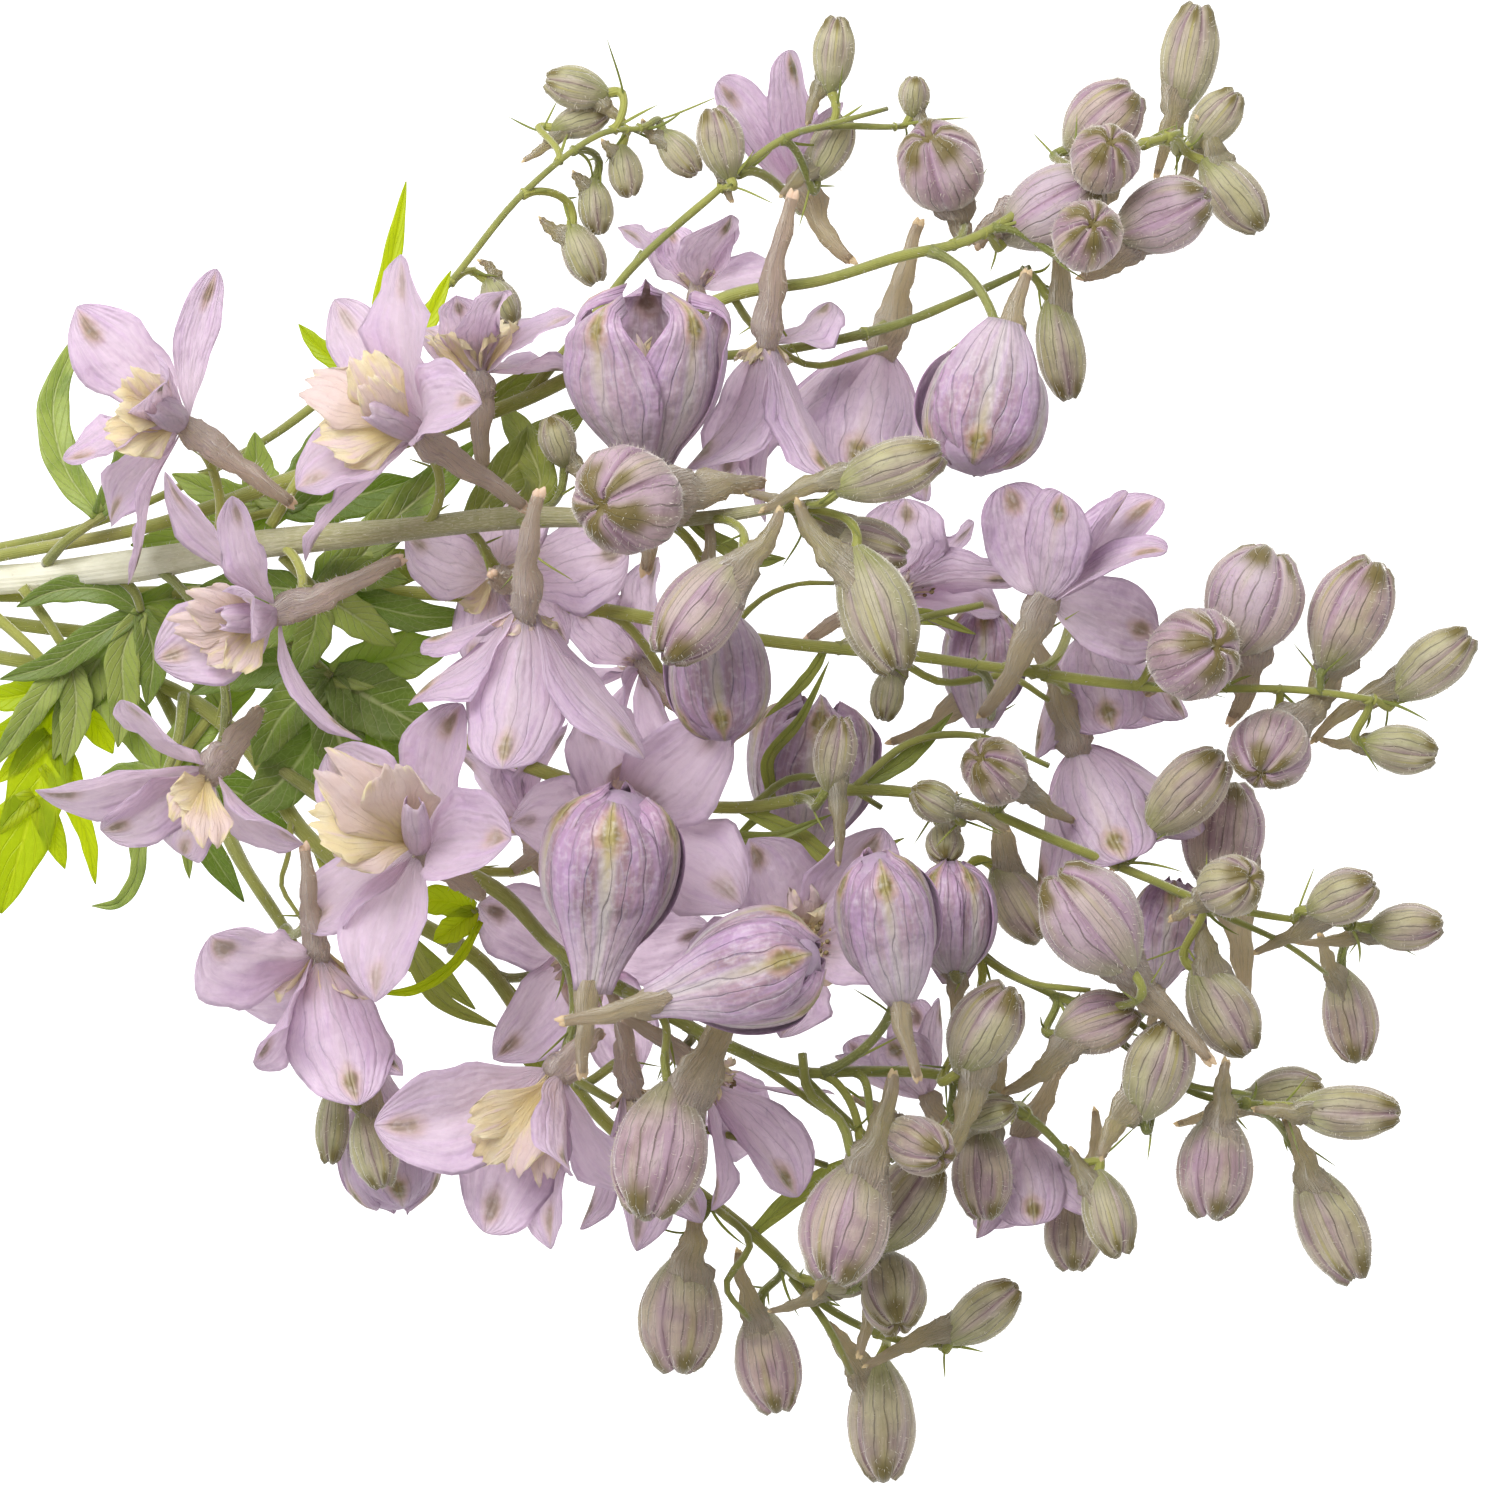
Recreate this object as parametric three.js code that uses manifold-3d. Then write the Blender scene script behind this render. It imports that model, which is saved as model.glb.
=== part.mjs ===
// A cut stem of a pale lilac delphinium, lying on its side: the main stem with its end spike, its side
// branches, their buds, the open flowers and the cut leaves low on the stem.
//
// Frame, in millimetres: the origin is the flat underside of the stem near its cut end, +X runs along the
// stem to the flowers, +Z is up, and the surface that the stem lies on is Z = 0.
//
// Every piece gives way by CLEARANCE to the pieces listed before it, so a flower sits on the end of its
// flower stalk, and a branch on the main stem, without touching it.
import * as THREE from 'three';
import Module from 'manifold-3d';

const wasm = await Module();
wasm.setup();

// ---------------------------------------------------------------- driving dimensions

// Between pieces that would touch.
const CLEARANCE = 0.45;
const SEPAL_LENGTH = 26;
const SEPAL_HALF_WIDTH = 7.4;
const SEPAL_THICKNESS = 0.76;
const SEPAL_CUP = 1.5;
// The bee: the small inner petals round the throat.
const BEE_LENGTH = 11.5;
const BEE_HALF_WIDTH = 3.6;
const BEE_THICKNESS = 0.7;
const LEAF_THICKNESS = 0.8;
const LEAF_STALK_RADIUS = 0.9;
const PEDICEL_RADIUS = 0.72;
const STEM_SIDES = 8;
const AXIS_SIDES = 5;
const PEDICEL_SIDES = 3;
const BUD_SIDES = 5;
const SPUR_SIDES = 5;
// Detail finer than this is left out.
const SLIVER = 0.16;

// The angle of a sepal from the way the flower faces, at its root and at its tip, in degrees.
const OPEN = [42, 102];
const FLARED = [46, 66];
const BELL = [54, 16];
const CUP = [63, -14];

const COLOURS = {
  mainStem: '#a9ad7c',
  branch: '#8d9a5b',
  sepal: '#c3afca',
  leaf: '#5f7f33',
  youngLeaf: '#9bb52a',
};

// ---------------------------------------------------------------- routes of the stalks
// Each axis is a list of points with the radius there: x, y, z, radius. A branch may hold several axes.

const STALKS = {
  main_stem: [
    [
      [-6, 0, 2.1, 2.7], [12, -0.3, 2.1, 2.7], [32, -0.6, 6, 2.7], [65, 0.3, 17, 2.6], [87, 2.5, 29, 2.5],
      [107, 5.8, 41, 2.3], [132, 8.3, 51, 2.0], [152, 10.3, 57, 1.7], [180, 10, 61, 1.2], [198, 12.5, 63, 0.8],
    ],
  ],
  branch_upper_thin: [
    [
      [40, 1, 8, 1.3], [52, 5, 10, 1.3], [65, 8, 11, 1.2], [83, 13, 14, 1.2], [106, 23, 19, 1.1],
      [115, 28, 20, 1.1], [137, 47, 22, 1.0], [152, 65, 21, 0.9], [165, 75, 19, 0.8], [172, 76, 18, 0.7],
    ],
  ],
  branch_upper: [
    [
      [48, 1, 12, 1.6], [65, 6, 20, 1.6], [90, 11, 28, 1.6], [112, 17, 35, 1.6], [132, 23, 39, 1.6],
      [152, 30, 39, 1.5], [168, 38, 39, 1.4], [187, 47.5, 40, 1.3], [202, 50, 40, 1.2], [215, 54, 39, 1.1],
      [227, 57, 38, 1.0], [248, 70, 34, 0.9], [262, 75, 28, 0.8],
    ],
    [
      [152, 30, 39, 1.3], [163, 43, 36, 1.2], [170, 52, 34, 1.1], [182, 63, 32, 1.0], [198, 75, 30, 0.9],
      [215, 76, 28, 0.7],
    ],
    [
      [166, 37, 39, 1.2], [176, 37, 34, 1.1], [198, 39, 28, 1.0], [215, 43, 27, 1.0], [225, 47, 27, 0.9],
      [237, 52.5, 25, 0.7],
    ],
  ],
  branch_level: [
    [
      [44, -1.5, 11, 1.6], [65, -2.5, 13, 1.6], [88, -2, 18, 1.6], [107, -2, 24, 1.6], [132, -2, 31, 1.5],
      [165, -5, 35, 1.4], [192, -10, 37, 1.3], [216, -12.5, 38, 1.2], [232, -14.7, 37, 1.1],
      [257, -17.8, 34, 1.0], [282, -18.3, 30, 0.8], [295, -20, 27, 0.7],
    ],
  ],
  branch_right: [
    [
      [36, -2, 6, 1.7], [50, -5, 6.5, 1.7], [65, -7, 8, 1.7], [98, -12, 18, 1.6], [132, -23, 25, 1.5],
      [165, -35, 30, 1.4], [188, -38, 34, 1.3], [207, -35, 35, 1.2], [225, -37, 34, 1.1], [240, -43, 32, 1.0],
      [257, -50, 29, 0.9], [267, -54, 27, 0.8], [283, -57, 23, 0.7], [298, -58, 19, 0.6],
    ],
    [
      [165, -35, 30, 1.3], [182, -46, 27, 1.2], [207, -54, 25, 1.1], [223, -58, 25, 1.0], [232, -65, 25, 0.9],
      [242, -70, 25, 0.9], [253, -78, 24, 0.8], [265, -86, 21, 0.8], [277, -88, 17, 0.7],
    ],
  ],
  branch_low: [
    [
      [28, -2, 4.6, 1.8], [46, -9, 4.6, 1.8], [65, -13, 7, 1.8], [90, -17, 12, 1.8], [105, -27, 17, 1.8],
      [115, -42, 19, 1.8], [132, -56, 21, 1.7], [145, -64, 21, 1.6], [155, -78, 20, 1.5], [168, -93, 18, 1.3],
      [182, -103, 16, 1.2], [193, -112, 14, 1.1], [203, -122, 12, 0.9], [215, -127.5, 11, 0.8],
      [225, -128.5, 11, 0.6],
    ],
    [
      [105, -27, 17, 1.6], [118, -36, 24, 1.6], [131, -44, 29, 1.6], [148, -52, 33, 1.6], [158, -62, 38, 1.5],
      [172, -70, 45, 1.4], [185, -77, 43, 1.3], [198, -82, 40, 1.2], [210, -82, 37, 1.1], [223, -83, 33, 1.0],
      [237, -90, 27, 0.9], [245, -98, 23, 0.7],
    ],
    [
      [90, -17, 12, 1.6], [97, -30, 13, 1.6], [104, -46, 18, 1.5], [113, -60, 26, 1.2], [119, -74, 28, 0.8],
    ],
  ],
};

// ---------------------------------------------------------------- buds
// stalk: x, y, z of the middle of the bud, then the heading and the rise of its tip in degrees, its length
// and its width.

const BUDS = {
  main_stem: [
    [213, 18, 70, 20, 6, 19, 10.5], [209, 6, 57, -14, -6, 15, 9], [182, -5, 76, -128, 10, 21, 13.5],
    [211, -5, 67, -70, 4, 22, 13], [170, 13, 75, 196, 58, 20, 18], [158, 23, 47, 110, 5, 9, 6.5],
  ],
  branch_upper_thin: [
    [161, 83, 16, 165, 0, 11, 7], [158, 77, 17, 205, 5, 10, 5.5], [169, 69, 12, -80, 0, 9, 6],
    [178, 72, 14, -50, 0, 9.5, 6.5], [164, 63, 12, -85, 0, 9.5, 6.5], [162, 55, 14, -65, 0, 11, 7],
    [148, 47, 16, -62, 0, 9, 6.5], [122, 42, 19, 200, 10, 6, 4.6],
  ],
  branch_upper: [
    [185, 73, 33, 105, 4, 12.5, 8], [204, 88, 29, 84, 0, 13, 7], [217.5, 81, 26, 85, 0, 7, 5.5],
    [222, 69, 33, -75, 26, 17.5, 15], [264, 88, 3.6, 78, -1, 19, 10], [249, 79, 24, 62, 4, 15, 12.5],
    [249, 70, 42, -110, 62, 15, 11], [268, 78, 18, 70, 6, 9, 6.5], [271, 65, 19, -50, -4, 15.5, 9.5],
    [259, 61, 33, 22, 12, 17, 13], [246, 57, 48, -90, 66, 16, 11.5], [238, 63, 34, 112, 14, 17, 14],
    [242, 39, 22, -80, -4, 17.5, 8.5],
  ],
  branch_level: [
    [274, -3, 33, 96, 4, 18, 15.5], [290, -5, 30, 80, 6, 19, 14], [262, -12, 46, 150, 56, 16.5, 14],
    [304, -14, 25, 40, 4, 17, 9.5], [299, -28, 22, -8, 0, 12.5, 8.5], [213, -19, 31, -100, 0, 9, 6],
    [277, -28, 35, -35, 44, 14.5, 12],
  ],
  branch_right: [
    [263, -35, 27, 52, 6, 17, 11.5], [269, -43, 12, 78, 0, 18, 13.5], [231, -32, 44, 140, 58, 15, 11],
    [221, -37, 43, 150, 20, 9, 7], [222.5, -44, 34, -85, 40, 8, 6.5], [204, -29, 50, 82, 12, 13, 7.5],
    [247, -57, 44, 129, 8, 21, 16.5], [270, -51, 36, 60, 44, 13, 9.5], [289, -52, 27, 48, 14, 12.5, 9.5],
    [300, -58, 19, 4, 0, 12.5, 8.5], [269, -72, 22, -60, 0, 17, 11.5], [291, -73, 3.6, -78, 0, 16, 9.5],
    [229, -75, 43, 62, 10, 17, 12], [248, -74, 31, 20, 10, 14.5, 11], [258, -82, 33, 72, 10, 17, 11.5],
    [268, -98, 22, -95, 4, 18, 13], [280, -86, 8.6, 8, 0, 13, 9], [290, -89, 20, -3, 4, 18, 9.5],
    [288, -108, 4.5, -64, 0, 21, 12], [235, -54, 18, -60, 0, 15, 10],
  ],
  branch_low: [
    [218, -94, 47, -25, 44, 14.5, 10.5], [230, -89, 34, 20, 14, 9.5, 6.5], [229, -99, 26, -86, 0, 16, 10.5],
    [250, -106, 24, -75, 6, 15, 9.5], [246, -111, 8, -90, 0, 15, 10.5], [175, -95, 57, -100, 8, 23, 16.5],
    [206, -107, 45, -105, 6, 21, 15.5], [217, -105, 28, -122, 0, 18, 12.5], [178, -122, 17, -95, 0, 19, 14.5],
    [193, -131, 9, -80, 0, 18, 11], [214, -119, 27, -80, 40, 16, 11], [212, -141, 4.4, -88, 0, 21, 11.8],
    [229, -123, 14, 38, 6, 15, 9], [206, -117, 20, 12, 0, 9.5, 7], [127, -95, 35, -75, 4, 13.5, 7.8],
    [120, -91, 21, -95, 0, 13.5, 6],
  ],
};

// ---------------------------------------------------------------- open and opening flowers
// The stalk that carries it, x, y, z of its seat, then the heading and the rise of the way it faces and its
// roll in degrees, how far it is open, and its size against a full one.

const BLOOMS = [
  ['main_stem', [97, 25, 54], 148, 30, 18, OPEN, 1.1],
  ['main_stem', [136, 23, 70], 139, 35, 8, OPEN, 1.1],
  ['branch_upper', [145, 33, 50], 100, 10, 0, OPEN, 0.94],
  ['branch_upper', [173, 23, 58], 90, 12, 180, CUP, 1.15],
  ['main_stem', [112.5, -5, 60], 205, 20, -5, OPEN, 1.08],
  ['main_stem', [153, -4, 72], -95, -22, 0, FLARED, 1.12],
  ['main_stem', [101, -31, 50], 232, 20, -20, OPEN, 1.08],
  ['branch_low', [136, -45, 52], 140, 50, 14, OPEN, 1.08],
  ['branch_low', [118, -61, 42], -80, -18, 0, OPEN, 0.96],
  ['branch_low', [158, -81, 42], -120, 22, 0, FLARED, 1.14],
  ['branch_low', [127.5, -87, 15], -78, 0, 0, CUP, 0.84],
  ['main_stem', [148, 1, 45], -60, -70, 0, OPEN, 0.96],
  ['branch_upper', [193, 41, 42], -98, 5, 0, FLARED, 1.08],
  ['branch_upper', [231, 39, 48], -98, 10, 0, CUP, 1.02],
  ['branch_upper', [214, 38, 16], -110, -3, 0, BELL, 0.9],
  ['branch_upper', [198, 66, 14], 104, 4, 0, BELL, 0.96],
  ['branch_upper', [181, 48, 15], 95, 0, 0, FLARED, 0.8],
  ['branch_level', [239, -4, 50], 70, 12, 0, BELL, 0.88],
  ['branch_level', [246, -8, 12.6], -75, 0, 0, BELL, 0.84],
  ['branch_level', [213, -2, 24], 14, 0, 0, FLARED, 0.9],
  ['branch_level', [229, -20, 16], 90, 0, 0, CUP, 0.7],
  ['branch_level', [244, -28.5, 18], -70, -4, 0, BELL, 0.84],
  ['branch_right', [199, -42, 18], 84, 4, 0, CUP, 1.0],
  ['branch_right', [167, -41, 37], 30, 60, -14, OPEN, 1.04],
  ['branch_low', [165, -60, 62], 82, 12, 0, CUP, 1.02],
  ['branch_low', [180, -68, 69], 16, 8, 0, CUP, 1.0],
  ['branch_right', [197, -62, 29], 20, 60, 20, OPEN, 1.0],
  ['branch_low', [214, -64, 55], 100, 15, 0, CUP, 0.86],
  ['branch_right', [224, -63, 35], 92, 5, 180, CUP, 0.72],
  ['branch_low', [153, -43, 20], 118, 5, 0, FLARED, 0.92],
  ['branch_low', [182, -82, 34], -38, -20, 0, FLARED, 0.96],
  ['branch_low', [160, -62, 15], -30, 66, 0, OPEN, 0.9],
  ['branch_low', [170, -84, 28], -78, -20, 0, FLARED, 0.96],
  ['branch_low', [235, -92, 13], -80, 0, 0, BELL, 0.74],
  ['branch_low', [218, -85, 15], 120, 6, 0, BELL, 0.8],
  ['branch_right', [259, -64, 12], 80, 0, 0, CUP, 0.62],
  ['branch_level', [173, -15, 22], 130, -12, 0, FLARED, 0.84],
  ['main_stem', [184, -8, 54], -85, 0, 0, CUP, 0.84],
];

// ---------------------------------------------------------------- leaves
// The leaf stalk's route, then the lobes: each a route from the leaf's middle to the lobe's tip, its half
// width, and on the long ones the number of pairs of side teeth.

const LEAVES = [
  {
    name: 'leaf_01',
    colour: 'leaf',
    stalk: [[72, 3, 22], [76, 7, 29], [82, 11, 31]],
    lobes: [
      [[[81, 11, 31], [74, 19, 29], [72, 30, 26], [78, 42, 25]], 3.4, 2],
      [[[81, 11, 31], [85, 18, 31], [86, 27, 30]], 2.6, 1],
    ],
  },
  {
    name: 'leaf_02',
    colour: 'youngLeaf',
    stalk: [[110, 9, 43], [118, 22, 43], [126, 34, 33]],
    lobes: [
      [[[126, 34, 33], [129, 48, 31], [132.5, 67, 30]], 1.9, 0],
      [[[126, 34, 33], [118, 38, 30], [111, 45, 28]], 1.8, 0],
      [[[126, 34, 33], [135, 42, 30], [140, 52, 28]], 1.8, 0],
    ],
  },
  {
    name: 'leaf_03',
    colour: 'leaf',
    stalk: [[84, 1, 27], [87, -2, 26], [88, -5, 25]],
    lobes: [
      [[[88, -5, 25], [82, -1.6, 26], [74, -1.6, 25], [67, -4.4, 24]], 1.9, 0],
      [[[88, -5, 25], [85, -12, 24], [85, -20, 22], [84, -28, 21]], 2.4, 1],
      [[[88, -5, 25], [90, -12, 24], [89, -21, 22]], 2.2, 0],
      [[[88, -5, 25], [80, -9.5, 24], [73, -14, 21], [64, -16.5, 19]], 2.1, 0],
    ],
  },
  {
    name: 'leaf_04',
    colour: 'youngLeaf',
    stalk: [[60, -3, 14], [70, -12, 15], [74, -17, 15]],
    lobes: [
      [[[74, -16, 15], [72, -28, 14], [68, -43, 12], [64, -56, 10]], 5.2, 2],
      [[[74, -17, 15], [79, -22, 14], [83, -29, 13]], 3.4, 1],
      [[[71, -31, 14], [78, -41, 12], [80, -51, 10]], 1.6, 0],
      [[[74, -16, 15], [68, -19, 13], [60, -20, 11]], 2.8, 0],
      [[[73, -20, 15], [62, -29, 12], [55, -40, 9]], 2.6, 1],
    ],
  },
  {
    name: 'leaf_05',
    colour: 'leaf',
    stalk: [[68, -1, 21], [73, -8, 21], [76, -13, 20]],
    lobes: [
      [[[76, -13, 20], [70, -21, 19], [63, -31, 17]], 2.0, 0],
      [[[76, -13, 20], [77, -21, 19], [75, -31, 18]], 2.2, 1],
    ],
  },
  {
    name: 'leaf_06',
    colour: 'leaf',
    stalk: [[95, -19, 17], [94, -27, 22], [91, -35, 24]],
    lobes: [
      [[[91, -35, 24], [88, -44, 24], [87, -50, 24], [84, -54, 23], [79.5, -54.5, 22]], 1.3, 0],
      [[[91, -35, 24], [95, -42, 22], [96, -50, 20]], 1.4, 0],
    ],
  },
  {
    name: 'leaf_07',
    colour: 'leaf',
    stalk: [[100, 5, 33], [105, 10, 28], [112, 12, 25]],
    lobes: [
      [[[112, 12, 25], [108, 17, 24], [107, 25, 24]], 2.6, 0],
      [[[112, 12, 25], [116, 18, 25], [119, 27, 25]], 2.8, 1],
      [[[112, 12, 25], [123, 14, 26], [134, 17, 27]], 3.0, 1],
      [[[112, 12, 25], [102, 14, 23], [93, 18, 21]], 2.4, 0],
    ],
  },
  {
    name: 'leaf_08',
    colour: 'leaf',
    stalk: [[112, 4, 42], [116, 0, 40], [118, -2, 38]],
    lobes: [
      [[[118, -2, 38], [124, 1, 37], [133, 0, 36]], 2.6, 0],
      [[[118, -2, 38], [124, -6, 36], [131, -11, 34]], 2.6, 1],
      [[[118, -2, 38], [117, -9, 36], [114, -16, 34]], 2.6, 1],
      [[[118, -2, 38], [108, -1, 36], [98, -1, 34]], 2.6, 0],
    ],
  },
  {
    name: 'leaf_09',
    colour: 'leaf',
    stalk: [[107, -6, 24], [114, -11, 27], [120, -16, 28]],
    lobes: [
      [[[120, -16, 28], [127, -20, 28], [138, -26, 27]], 4.8, 1],
      [[[120, -16, 28], [130, -13, 27], [140, -11, 26]], 3.6, 1],
      [[[120, -16, 28], [121, -26, 27], [126, -37, 25]], 3.6, 0],
      [[[120, -16, 28], [112, -22, 26], [107, -31, 24]], 3.4, 0],
    ],
  },
  {
    name: 'leaf_10',
    colour: 'leaf',
    stalk: [[99, -23, 14], [94, -30, 16], [92, -34, 16]],
    lobes: [
      [[[92, -34, 16], [97, -42, 11], [105, -54, 9]], 2.2, 0],
      [[[92, -34, 16], [89, -40, 14], [86, -47, 12]], 2.0, 1],
      [[[92, -34, 16], [86, -33, 15], [80, -34, 13]], 2.2, 0],
    ],
  },
  {
    name: 'leaf_11',
    colour: 'youngLeaf',
    stalk: [[140, -62, 22], [142, -58, 27], [144, -55, 30]],
    lobes: [
      [[[144, -55, 30], [137, -54, 31], [129, -56, 31]], 2.0, 1],
      [[[144, -55, 30], [143, -62, 30], [138, -69, 29]], 2.0, 0],
      [[[144, -55, 30], [148, -62, 30], [147, -71, 28]], 2.2, 0],
    ],
  },
];

// ---------------------------------------------------------------- small geometry helpers

const radians = THREE.MathUtils.degToRad;
const vector = ([x, y, z]) => new THREE.Vector3(x, y, z);

// A closed solid from rings of points that run counter-clockwise about the way from ring to ring. A ring of
// one point closes an end to a tip, and a full ring at an end is closed flat.
function skin(rings) {
  const positions = [];
  const starts = [];
  for (const ring of rings) {
    starts.push(positions.length / 3);
    for (const point of ring) positions.push(point.x, point.y, point.z);
  }
  const triangles = [];
  for (let r = 0; r + 1 < rings.length; r += 1) {
    const [low, high] = [starts[r], starts[r + 1]];
    const [lowCount, highCount] = [rings[r].length, rings[r + 1].length];
    const count = Math.max(lowCount, highCount);
    for (let k = 0; k < count; k += 1) {
      const next = (k + 1) % count;
      if (lowCount > 1) triangles.push(low + k, low + next, high + (next % highCount));
      if (highCount > 1) triangles.push(low + (lowCount > 1 ? k : 0), high + next, high + k);
    }
  }
  const last = rings.length - 1;
  for (let k = 1; k + 1 < rings[0].length; k += 1) {
    triangles.push(starts[0], starts[0] + k + 1, starts[0] + k);
  }
  for (let k = 1; k + 1 < rings[last].length; k += 1) {
    triangles.push(starts[last], starts[last] + k, starts[last] + k + 1);
  }
  return new wasm.Manifold(new wasm.Mesh({
    numProp: 3,
    vertProperties: new Float32Array(positions),
    triVerts: new Uint32Array(triangles),
  }));
}

// A round bar through stations of x, y, z, radius. grow makes it thicker and longer by that much. An end
// station with no radius closes it to a tip.
function bar(stations, sides, grow) {
  const points = stations.map(vector);
  const last = points.length - 1;
  const tangents = points.map((_, i) => points[Math.min(i + 1, last)].clone()
    .sub(points[Math.max(i - 1, 0)]).normalize());
  points[0].addScaledVector(tangents[0], -grow);
  points[last].addScaledVector(tangents[last], grow);
  const across = new THREE.Vector3(0.31, 0.17, 0.94);
  const rings = points.map((point, i) => {
    across.addScaledVector(tangents[i], -across.dot(tangents[i])).normalize();
    const up = new THREE.Vector3().crossVectors(tangents[i], across);
    if (stations[i][3] === 0) return [point];
    const radius = stations[i][3] + grow;
    return Array.from({ length: sides }, (_, k) => {
      const angle = (2 * Math.PI * k) / sides;
      return point.clone().addScaledVector(across, radius * Math.cos(angle))
        .addScaledVector(up, radius * Math.sin(angle));
    });
  });
  return skin(rings);
}

// A thin blade, lens-shaped across: each station has a point, the ways along and across the blade, its half
// width and how far its edges stand up. A station with next to no width closes it to a tip. A grown blade has
// blunt edges, so that it stands off from the sharp ones of the true blade too.
function blade(stations, thickness, grow) {
  const rings = stations.map(({ point, along, across, halfWidth, edgeRise }, i) => {
    if (halfWidth < SLIVER) return [point.clone().addScaledVector(along, i === 0 ? -grow : grow)];
    const up = new THREE.Vector3().crossVectors(along, across).normalize();
    const edge = (side, shift) => point.clone().addScaledVector(across, side * (halfWidth + grow))
      .addScaledVector(up, edgeRise + shift);
    const face = (side) => point.clone().addScaledVector(up, side * (thickness / 2 + grow));
    if (grow === 0) return [edge(1, 0), face(1), edge(-1, 0), face(-1)];
    return [edge(1, -grow), edge(1, grow), face(1), edge(-1, grow), edge(-1, -grow), face(-1)];
  });
  return skin(rings);
}

// The local frame of a flower or bud: X across, Y to the side of the spur, Z the way it faces.
function flowerFrame([x, y, z], heading, rise, roll) {
  const [h, e, r] = [radians(heading), radians(rise), radians(roll)];
  const facing = new THREE.Vector3(Math.cos(e) * Math.cos(h), Math.cos(e) * Math.sin(h), Math.sin(e));
  const level = new THREE.Vector3(Math.sin(h), -Math.cos(h), 0);
  const upright = new THREE.Vector3(-Math.sin(e) * Math.cos(h), -Math.sin(e) * Math.sin(h), Math.cos(e));
  const spurSide = upright.multiplyScalar(Math.cos(r)).addScaledVector(level, Math.sin(r));
  const across = new THREE.Vector3().crossVectors(spurSide, facing);
  return new THREE.Matrix4().makeBasis(across, spurSide, facing).setPosition(x, y, z);
}

// ---------------------------------------------------------------- petals

// Half width of a petal along its length, from its narrow root (0) over its belly to its tip (1), against its
// widest.
function sepalOutline(v) {
  return 3.84 * v ** 1.3 * (1 - v) ** 0.75;
}

// A petal whose middle line bends evenly from one angle to another, measured from the +Z axis. turn is its
// place round the axis from +Y, and root its distance from the axis.
function petal({ turn, root, lift, length, halfWidth, angles, cup, thickness, rows }, grow) {
  const outward = new THREE.Vector3(-Math.sin(turn), Math.cos(turn), 0);
  const across = new THREE.Vector3(-Math.cos(turn), -Math.sin(turn), 0);
  const [start, end] = angles.map(radians);
  const swing = end - start;
  const stations = rows.map((v) => {
    const angle = start + swing * v;
    const out = root + (length * (Math.cos(start) - Math.cos(angle))) / swing;
    const forward = lift + (length * (Math.sin(angle) - Math.sin(start))) / swing;
    const width = halfWidth * sepalOutline(v);
    return {
      point: outward.clone().multiplyScalar(out).setZ(forward),
      along: outward.clone().multiplyScalar(Math.sin(angle)).setZ(Math.cos(angle)),
      across,
      halfWidth: width,
      edgeRise: cup * (width / halfWidth) ** 2,
    };
  });
  return blade(stations, thickness, grow);
}

// ---------------------------------------------------------------- flowers

const SEPAL_ROWS = [0, 0.28, 0.72, 1];
const BEE_ROWS = [0.15, 0.62, 1];
// The turn of the upper and lower pair of the bee from the spur side, and their angles from the axis.
const BEE_PAIRS = [[36, [12, 10]], [140, [46, 44]]];
// The least rise at which a flower is open to view from above, and so has its inner petals.
const FACE_SHOWS = 20;
// From the tip of the spur to the throat of the flower.
const SPUR_STATIONS = [[0, 7.8, -20.5, 0], [0, 4.6, -7.5, 1.9], [0, 1.3, -1.2, 2.4], [0, 0, 2.8, 2.9]];

// One flower in its own frame: the spur, five sepals round its throat, and the inner petals.
function flower(angles, showsFace, grow) {
  const closed = angles === CUP || angles === BELL;
  const solids = [bar(SPUR_STATIONS, SPUR_SIDES, grow)];
  for (let k = 0; k < 5; k += 1) {
    solids.push(petal({
      turn: (k * 2 * Math.PI) / 5,
      root: 1.4,
      lift: 1.2,
      length: SEPAL_LENGTH * (k === 0 ? 0.94 : 1),
      halfWidth: SEPAL_HALF_WIDTH * (closed ? 0.88 : 1),
      angles,
      cup: closed ? SEPAL_CUP * 1.5 : SEPAL_CUP,
      thickness: SEPAL_THICKNESS,
      rows: SEPAL_ROWS,
    }, grow));
  }
  const bees = showsFace && !closed ? BEE_PAIRS : [];
  for (const [turn, beeAngles] of bees) {
    for (const side of [-1, 1]) {
      solids.push(petal({
        turn: radians(side * turn),
        root: 0.8,
        lift: 0.4,
        length: BEE_LENGTH,
        halfWidth: BEE_HALF_WIDTH,
        angles: beeAngles,
        cup: 0.5,
        thickness: BEE_THICKNESS,
        rows: BEE_ROWS,
      }, grow));
    }
  }
  return wasm.Manifold.union(solids);
}

function bloom([, seat, heading, rise, roll, angles, size], grow) {
  const frame = flowerFrame(seat, heading, rise, roll);
  frame.scale(new THREE.Vector3(size, size, size));
  return flower(angles, rise >= FACE_SHOWS, grow / size).transform(frame.toArray());
}

// ---------------------------------------------------------------- buds

// A bud of length 1 and width 1, from the tip of its spur to its nose: y, z, radius.
const BUD_STATIONS = [
  [0.36, -0.9, 0], [0.2, -0.3, 0.19], [0.03, 0.16, 0.44], [0, 0.62, 0.49], [0, 1, 0.14],
];

function budFrame([x, y, z, heading, rise, length], roll) {
  const frame = flowerFrame([x, y, z], heading, rise, roll);
  return frame.multiply(new THREE.Matrix4().makeTranslation(0, 0, -length / 2));
}

function bud(place, roll, grow) {
  const [length, width] = place.slice(5);
  const stations = BUD_STATIONS.map(([y, z, radius]) => [0, y * width, z * length, radius * width]);
  return bar(stations, BUD_SIDES, grow).transform(budFrame(place, roll).toArray());
}

// ---------------------------------------------------------------- stalks

// Where a pedicel ends: inside its bud, or close under the root of its flower's spur.
const BUD_SEAT = [0, -0.9, -0.8];
const FLOWER_SEAT = [0, -2.1, -1.8];
const PEDICEL_STEP = 7;

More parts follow.
